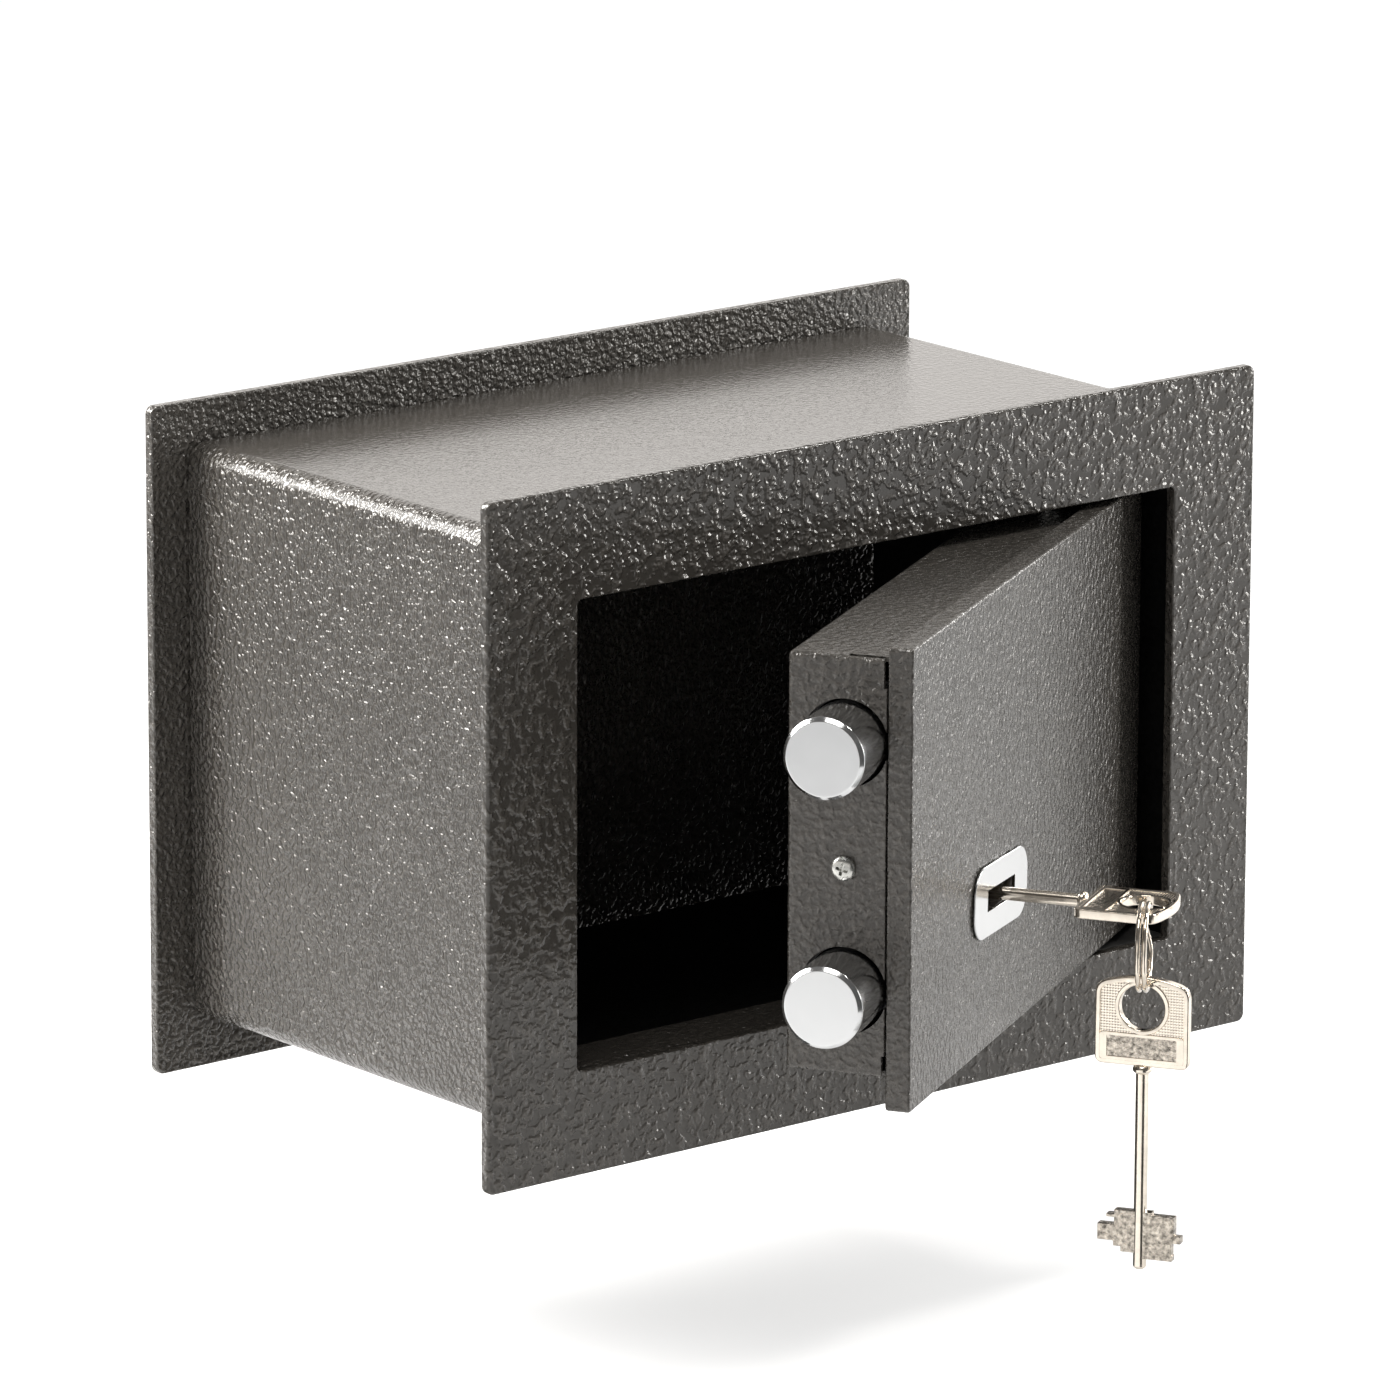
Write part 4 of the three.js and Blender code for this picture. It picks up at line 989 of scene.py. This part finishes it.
class SAFE_OT_lock(bpy.types.Operator):
    """Builds the lock under the cover: case, lid, screws, curtain, levers and springs"""

    bl_idname = "safe.lock"
    bl_label = "Lock"

    def execute(self, context):
        for name, node, body, finish, slot, edge in (
                ("guide_plate", "bolt_guide", "door", dark_steel, "dark_steel", 0.3 * mm),
                ("lock_box", "lock_case", "door", zinc, "zinc_steel", 0.25 * mm),
                ("lock_box_lid", "lock_lid", "door", zinc, "zinc_steel", 0.2 * mm),
                ("lever_pin", "lever_post", "door", ground_steel, "satin_steel", 0.2 * mm),
                ("stop_pin", "lever_stop", "door", ground_steel, "satin_steel", 0.2 * mm),
                ("key_curtain", "curtain", "curtain", brass, "brass", 0.2 * mm)):
            dress(shade(from_solids(name, [node], edge)), body, slot, [finish()], node)
        step = door_place.to_3x3() @ Vector((0, lever_pitch, 0))
        for name, node, finish, slot, edge in (
                ("levers", "lever", brass, "brass", 0.12 * mm),
                ("leaf_springs", "lever_spring", ground_steel, "satin_steel", 0)):
            pattern = from_solids(name + "_pattern", [f"{node}_1"], edge)
            pack = copies(name, pattern, [step * i for i in range(lever_count)], finish())
            nodes = [f"{node}_{i + 1}" for i in range(lever_count)]
            dress(shade(pack), "lever_pack", slot, [finish()], *nodes)
        self.screws()
        return {"FINISHED"}

    @staticmethod
    def screws():
        """The four screws of the case, with their slots turned at random."""
        screw = slotted_screw(closed(*in_mm((3.9, 2), (32.3, 2), (32.3, 3.4), (33.7, 3.4))), 0.25 * mm, 40,
                              33.1 * mm, 35 * mm, 0.5 * mm, 5 * mm)
        places = [(0, -x * mm, z * mm) for x in (90, 149) for z in (55.5, 112.5)]
        screws = copies("lock_screws", screw, places, zinc(), 2.0)
        screws.data.transform(door_place @ Matrix.Rotation(math.pi / 2, 4, "Z"))
        dress(shade(screws), "door", "zinc_steel", [zinc()], *[f"lock_screw_{i + 1}" for i in range(4)])


# Keys


key_half, field_depth, panel_rise = 1.4 * mm, 0.35 * mm, 0.06 * mm
key_hole, bit_top, bit_length, bit_reach = 6.5 * mm, -58.5 * mm, 13.5 * mm, 12 * mm
key_bow_y = -42.2 * mm
ring_x, ring_y, ring_z, spare_hole_z = 102.5 * mm, -45.2 * mm, 65.408 * mm, 48.258 * mm

# The steps of the two bits: how far down each ends, and how far out it stands, as shares of length and reach
bit_steps = {
    -1: ((0.10, 0.60), (0.17, 0.79), (0.32, 0.60), (0.67, 1), (0.78, 0.62), (0.89, 0.44)),
    1: ((0.06, 0.30), (0.46, 0.84), (0.61, 1), (0.89, 0.78), (1, 0.80)),
}


def bow_outline():
    """Outline of a key's bow about the middle of its hole: flat foot, straight sides and an arched top."""
    half, top, base, arch, shoulder, foot = 13.5, 8.8, -16.8, 2.6, 3.0, 2.4
    shoulder_z = top - arch

    def bend(a, b, c, steps):
        return [tuple((1 - t) ** 2 * p + 2 * t * (1 - t) * q + t * t * r for p, q, r in zip(a, b, c))
                for t in (i / steps for i in range(steps))]

    def run(a, b, steps):
        return [tuple(p + (q - p) * i / steps for p, q in zip(a, b)) for i in range(steps)]

    crown = shoulder_z + shoulder / 3
    points = run((-half + foot, base), (half - foot, base), 12)
    points += bend((half - foot, base), (half, base), (half, base + foot), 8)
    points += run((half, base + foot), (half, shoulder_z - shoulder), 10)
    points += bend((half, shoulder_z - shoulder), (half, shoulder_z), (half - shoulder, crown), 8)
    points += bend((half - shoulder, crown), (0, top * 2 - crown), (-half + shoulder, crown), 28)
    points += bend((-half + shoulder, crown), (-half, shoulder_z), (-half, shoulder_z - shoulder), 8)
    points += run((-half, shoulder_z - shoulder), (-half, base + foot), 10)
    points += bend((-half, base + foot), (-half, base), (-half + foot, base), 8)
    return in_mm(*points)


def add_bow(bm):
    """The bow with its hole, a rim round each of the two and a sunk field between them."""
    rim, hole_rim, outer_edge, hole_edge = 1.5 * mm, 1.2 * mm, 0.55 * mm, 0.4 * mm
    least_room, full_depth_room, slope_out, slope_in = 0.5 * mm, 1.2 * mm, 0.12 * mm, 0.08 * mm
    outline = bow_outline()
    rays = np.array(outline)
    rays /= np.linalg.norm(rays, axis=1)[:, None]
    inner = np.array(drawn_in(outline, rim))
    room = np.linalg.norm(inner, axis=1) - (key_hole + hole_rim)
    sink = np.clip(room / full_depth_room, 0, 1) * field_depth
    meet = (key_hole + hole_rim + np.linalg.norm(inner, axis=1)) / 2
    tight = (room < least_room)[:, None]
    inner = np.where(tight, rays * (meet + least_room / 2)[:, None], inner)
    ring = np.where(tight, rays * (meet - least_room / 2)[:, None], rays * (key_hole + hole_rim))

    def loop(points, y, side):
        return [(p[0], side * h, p[1]) for p, h in zip(points, np.broadcast_to(y, len(outline)))]

    loops = []
    for side in (-1, 1):
        part = []
        for a in map(math.radians, (0, 30, 60, 90)):
            part.append(loop(drawn_in(outline, outer_edge * (1 - math.cos(a))),
                             key_half - outer_edge * (1 - math.sin(a)), side))
        part.append(loop(inner + rays * slope_out, key_half, side))
        part.append(loop(inner - rays * slope_in, key_half - sink, side))
        part.append(loop(ring + rays * slope_out, key_half - sink, side))
        part.append(loop(ring - rays * slope_in, key_half, side))
        for a in map(math.radians, (90, 60, 30, 0)):
            part.append(loop(rays * (key_hole + hole_edge * (1 - math.cos(a))),
                             key_half - hole_edge * (1 - math.sin(a)), side))
        loops += part if side < 0 else part[::-1]
    loft(bm, loops, wrap=True)


def add_panels(bm):
    """On each face of the bow, under its hole, a raised border round a low panel."""
    root = key_half - field_depth - 0.2 * mm
    border_top, panel_top = key_half - 0.02 * mm, key_half - field_depth + panel_rise
    outside = rectangle_outline(-12.1 * mm, 12.1 * mm, -15.5 * mm, -7.6 * mm, 0.9 * mm, 3)
    inside = rectangle_outline(-10 * mm, 10 * mm, -14.5 * mm, -8.5 * mm, 0.25 * mm, 3)
    for side in (-1, 1):
        holed_plate(bm, outside, inside, *sorted((side * root, side * border_top)), 0.12 * mm, 0.12 * mm, 2)
        block(bm, -10.2 * mm, 10.2 * mm, *sorted((side * root, side * panel_top)), -14.7 * mm, -8.3 * mm,
              0.02 * mm, 0.1 * mm)


def add_stem(bm):
    """The stem, with a collar under the bow and a slightly pointed end."""
    stem = closed(*in_mm((-75.2, 1.15), (-74.5, 1.85), (-18.8, 1.85), (-18.8, 2.1), (-18.2, 2.7),
                         (-17.4, 2.7), (-16.6, 2.1)))
    turned(bm, eased(stem, 0.25 * mm), 48, Matrix.Rotation(-math.pi / 2, 4, "Y"))


def in_order(items):
    """Each item once, in the order in which they first come."""
    return list(dict.fromkeys(items))


def add_bits(bm):
    """A stepped bit on each side of the stem."""
    for side, shares in bit_steps.items():
        root, start = -side * 0.9 * mm, 0
        points = [(root, bit_top)]
        for end, out in shares:
            x = side * bit_reach * out
            points += [(x, bit_top - bit_length * start), (x, bit_top - bit_length * end)]
            start = end
        points.append((root, bit_top - bit_length * start))
        made = loft(bm, [[(x, y, z) for x, z in points] for y in (-key_half, key_half)])
        edges = in_order(e for v in made for e in v.link_edges)
        bmesh.ops.recalc_face_normals(bm, faces=in_order(f for e in edges for f in e.link_faces))
        bmesh.ops.bevel(bm, geom=edges, offset=0.22 * mm, segments=2, profile=0.5, affect="EDGES",
                        clamp_overlap=True)


def sort_faces(bm):
    """Sorts faces by their lowest points, as a bevel leaves them in another order in each run."""
    bm.verts.index_update()
    count = len(bm.verts)

    def rank(face):
        a, b, c = sorted(v.index for v in face.verts)[:3]
        return (a * count + b) * count + c

    bm.faces.sort(key=rank)


def key_finishes(obj):
    """Stipples the bow's sunk field and roughens its panel and the bits, while the key is still upright."""
    plain, stippled, cast = range(3)
    obj.data.materials.clear()
    for finish in (nickel, stippled_nickel, cast_nickel):
        obj.data.materials.append(finish())
    field, bits_below, stem_half = key_half - field_depth, -58 * mm, 2 * mm
    for face in obj.data.polygons:
        x, y, z = face.center
        flat = abs(face.normal.y) > 0.9
        if flat and abs(abs(y) - field - panel_rise) < 0.02 * mm:
            face.material_index = cast
        elif flat and abs(abs(y) - field) < 0.03 * mm:
            face.material_index = stippled
        elif z < bits_below and abs(x) > stem_half:
            face.material_index = cast
        else:
            face.material_index = plain


def finished_key(name, hole, turn):
    """A double-bitted key, made upright with its bow on top about the middle of its hole, and then placed."""
    bm = bmesh.new()
    for add in (add_bow, add_panels, add_stem, add_bits):
        add(bm)
    sort_faces(bm)
    key = loose_object(name, bm)
    key_finishes(key)
    key.data.transform(door_place @ Matrix.Translation(hole) @ turn)
    return shade(key)


class SAFE_OT_keys(bpy.types.Operator):
    """Builds the key in the lock, the split ring and the spare key"""

    bl_idname = "safe.keys"
    bl_label = "Keys and ring"

    def execute(self, context):
        size = context.scene.safe_sizes
        key = finished_key("nickel_key", (key_x, key_bow_y, key_z), Matrix.Rotation(math.pi / 2, 4, "X"))
        dress(key, "key", "nickel", None, "key")
        spare = finished_key(
            "nickel_spare_key", (ring_x, ring_y, spare_hole_z), Matrix.Rotation(-math.pi / 2, 4, "Z"))
        dress(spare, "spare_key", "nickel", None, "spare_key")
        ring = grown("wire_ring", node_tree("Split ring", wire_ring_tree), {
            "Ring Radius": size.ring_radius, "Wire Radius": size.ring_wire, "Pitch": 1.85 * mm,
            "Jog": math.radians(50), "End Gap": math.radians(6), "Steps": 260, "Sides": 20,
            "Material": nickel()})
        hang = Matrix.Translation((ring_x, ring_y, ring_z)) @ Matrix.Rotation(math.radians(12), 4, "Z")
        ring.data.transform(door_place @ hang)
        dress(shade(ring, 50), "ring", "nickel", [nickel()], "split_ring")
        return {"FINISHED"}


# Studio


warm, safe_middle = (1.0, 0.98, 0.95), (0, -0.08, 0)
camera_place, camera_target = (-1.8337, -2.2995, 0.7379), (-0.00396, -0.065, 0.00358)
camera_shift, camera_roll = 0.02457, math.radians(0.168)

# Soft lamps: name, place, aim, width and height, and power in watts
lamps = (
    ("overhead_softbox", (-0.4, -0.5, 1.7), safe_middle, (0.9, 0.7), 14),
    ("left_rear_softbox", (-0.42, 0.29, 0.37), (-0.13, -0.08, 0.05), (0.28, 0.4), 9),
    ("right_front_softbox", (0.75, -0.42, 0.1), (0.02, -0.155, 0.05), (0.2, 0.24), 2.2),
    ("upper_edge_softbox", (0.6, -0.4, 0.8), (0, -0.155, 0.09), (0.16, 0.16), 3),
    ("right_softbox", (1.9, 0.35, 0.35), safe_middle, (0.3, 0.3), 5),
)

# Dark cards: name, place, aim, width and height
dark_cards = (
    ("front_card", (-0.026, -0.70, 0.04), (0.013, -0.251, -0.02), 0.5, 0.42),
    ("key_card", (-0.02, -0.355, -0.09), (0.013, -0.251, -0.09), 0.08, 0.155),
    ("under_card", (-0.085, -0.15, -0.132), (-0.085, -0.3, -0.132), 0.23, 0.066),
)


def pale_floor():
    """A pale cloudy floor that glows a little, less so where bright metal mirrors it."""
    material = bpy.data.materials.new("Pale floor")
    material.use_nodes = True
    n = Nodes(material.node_tree)
    main = material.node_tree.nodes["Principled BSDF"].inputs
    where = n.add("ShaderNodeTexCoord").outputs["Object"]
    cloud = n.noise(where, 3.0, Detail=3.0)
    n.link(n.ramp(cloud, 0.2, 0.8, 0.72, 0.76, "LINEAR"), main["Base Color"])
    main["Roughness"].default_value = 0.9
    main["Specular IOR Level"].default_value = 0.1
    path = n.add("ShaderNodeLightPath").outputs
    mirrored = n.math("MAXIMUM", path["Is Glossy Ray"], path["Is Transmission Ray"])
    spot = n.add("ShaderNodeSeparateXYZ", {"Vector": where}).outputs
    front = n.math("MULTIPLY", n.ramp(spot["Y"], -0.3, -0.6, 0.0, 0.34), n.ramp(spot["X"], -0.1, 0.2))
    sides = n.math("MAXIMUM", n.ramp(spot["X"], 0.2, 0.5, 0.0, 0.12), n.ramp(spot["Y"], 0.1, 0.35, 0.0, 0.2))
    shine = n.math("MULTIPLY", mirrored, n.math("MAXIMUM", front, sides))
    glow = n.math("ADD", n.math("MULTIPLY", path["Is Camera Ray"], 0.5), shine)
    main["Emission Color"].default_value = (1, 1, 1, 1)
    n.link(glow, main["Emission Strength"])
    return material


def dull_card():
    material = bpy.data.materials.new("Dark card")
    material.use_nodes = True
    n = Nodes(material.node_tree)
    cloud = n.noise(n.add("ShaderNodeTexCoord").outputs["Object"], 9.0)
    tone = n.ramp(cloud, 0.0, 1.0, 0.02, 0.05, "LINEAR")
    n.link(tone, material.node_tree.nodes["Principled BSDF"].inputs["Base Color"])
    return material


class SAFE_OT_studio(bpy.types.Operator):
    """Builds the floor, the dark cards, the soft lamps and the camera"""

    bl_idname = "safe.studio"
    bl_label = "Studio"

    def execute(self, context):
        scene, studio = context.scene, context.scene.safe_studio
        self.floor(studio.floor_level)
        for card in dark_cards:
            self.dark_card(*card)
        scene.world = self.world()
        for name, place, aim, size, power in lamps:
            self.lamp(name, place, aim, size, power * studio.softbox)
        scene.camera = self.camera(studio.lens)
        scene.view_settings.view_transform = "Standard"
        return {"FINISHED"}

    @staticmethod
    def floor(level):
        bm = bmesh.new()
        bmesh.ops.create_grid(bm, x_segments=24, y_segments=24, size=9)
        floor = loose_object("studio_floor", bm, Matrix.Translation((0, 0, level)))
        floor.data.materials.append(pale_floor())

    @staticmethod
    def dark_card(name, place, aim, width, height):
        """A dark card that only reflections show, so that bright metal has something dark to mirror."""
        turn = (Vector(aim) - Vector(place)).to_track_quat("Z", "Y").to_matrix().to_4x4()
        sized = Matrix.Diagonal((width, height, 1, 1))
        bm = bmesh.new()
        bmesh.ops.create_grid(bm, x_segments=1, y_segments=1, size=0.5)
        card = loose_object(name, bm, Matrix.Translation(place) @ turn @ sized)
        card.data.materials.append(dull_card())
        card.visible_camera = card.visible_diffuse = card.visible_shadow = card.visible_transmission = False

    @staticmethod
    def lamp(name, place, aim, size, power):
        data = bpy.data.lights.new(name, "AREA")
        data.shape = "RECTANGLE"
        data.size, data.size_y = size
        data.energy = power
        data.color = warm
        lamp = bpy.data.objects.new(name, data)
        lamp.location = place
        lamp.rotation_euler = (Vector(aim) - Vector(place)).to_track_quat("-Z", "Y").to_euler()
        lamp.visible_camera = False
        bpy.context.scene.collection.objects.link(lamp)

    @staticmethod
    def camera(lens):
        data = bpy.data.cameras.new("camera")
        data.lens = lens
        data.sensor_width = 36
        data.shift_x = camera_shift
        data.clip_start, data.clip_end = 0.1, 50
        camera = bpy.data.objects.new("camera", data)
        aim = (Vector(camera_target) - Vector(camera_place)).to_track_quat("-Z", "Y").to_matrix().to_4x4()
        camera.matrix_world = Matrix.Translation(camera_place) @ aim @ Matrix.Rotation(camera_roll, 4, "Z")
        bpy.context.scene.collection.objects.link(camera)
        return camera

    @staticmethod
    def world():
        """White for the camera, softer for plain light, and with a dimmer ceiling for reflections."""
        world = bpy.data.worlds.new("Soft white")
        world.use_nodes = True
        n = Nodes(world.node_tree)
        back = world.node_tree.nodes["Background"].inputs
        path = n.add("ShaderNodeLightPath").outputs
        tint = n.add("ShaderNodeMix", data_type="RGBA")
        n.link(path["Is Glossy Ray"], tint.inputs[0])
        tint.inputs[6].default_value = (1, 1, 1, 1)
        tint.inputs[7].default_value = (1, 0.965, 0.93, 1)
        n.link(tint.outputs[2], back["Color"])
        outward = n.add("ShaderNodeTexCoord").outputs["Generated"]
        way = n.add("ShaderNodeSeparateXYZ", {"Vector": outward}).outputs
        ceiling = n.ramp(way["Z"], 0.28, 0.5, 1.0, 0.12)
        far_wall = n.ramp(n.math("ADD", way["X"], way["Y"]), 0.7, 1.2, 0.0, 1.4)
        mirrored = n.math("MULTIPLY", path["Is Glossy Ray"], n.math("MAXIMUM", ceiling, far_wall))
        shown = n.math("MAXIMUM", path["Is Camera Ray"], path["Is Transmission Ray"])
        plain = n.math("SUBTRACT", 1.0, n.math("MAXIMUM", shown, path["Is Glossy Ray"]))
        softened = n.math("MULTIPLY", plain, 0.6)
        n.link(n.math("ADD", n.math("ADD", mirrored, shown), softened), back["Strength"])
        return world


class SAFE_PT_panel(bpy.types.Panel):
    """Lists the steps that build the safe"""

    bl_idname = "SAFE_PT_panel"
    bl_label = "Wall safe"
    bl_space_type = "VIEW_3D"
    bl_region_type = "UI"
    bl_category = "Safe"

    def draw(self, context):
        for step in steps:
            self.layout.operator(step.bl_idname)
        for group in (context.scene.safe_sizes, context.scene.safe_finish, context.scene.safe_studio):
            box = self.layout.box()
            for name in group.__annotations__:
                box.prop(group, name)


groups = {"safe_sizes": SafeSizes, "safe_finish": SafeFinish, "safe_studio": SafeStudio}
steps = (SAFE_OT_plates, SAFE_OT_body, SAFE_OT_hinge, SAFE_OT_door, SAFE_OT_cover, SAFE_OT_bolts,
         SAFE_OT_lock, SAFE_OT_keys, SAFE_OT_studio)


def register():
    for cls in (*groups.values(), *steps, SAFE_PT_panel):
        bpy.utils.register_class(cls)
    for name, cls in groups.items():
        setattr(bpy.types.Scene, name, PointerProperty(type=cls))


def unregister():
    for name in groups:
        delattr(bpy.types.Scene, name)
    for cls in (SAFE_PT_panel, *reversed(steps), *groups.values()):
        bpy.utils.unregister_class(cls)


def main():
    register()
    bpy.ops.safe.plates()
    bpy.ops.safe.body()
    bpy.ops.safe.hinge()
    bpy.ops.safe.door()
    bpy.ops.safe.cover()
    bpy.ops.safe.bolts()
    bpy.ops.safe.lock()
    bpy.ops.safe.keys()
    bpy.ops.safe.studio()
    bpy.context.view_layer.update()


if __name__ == "__main__":
    main()
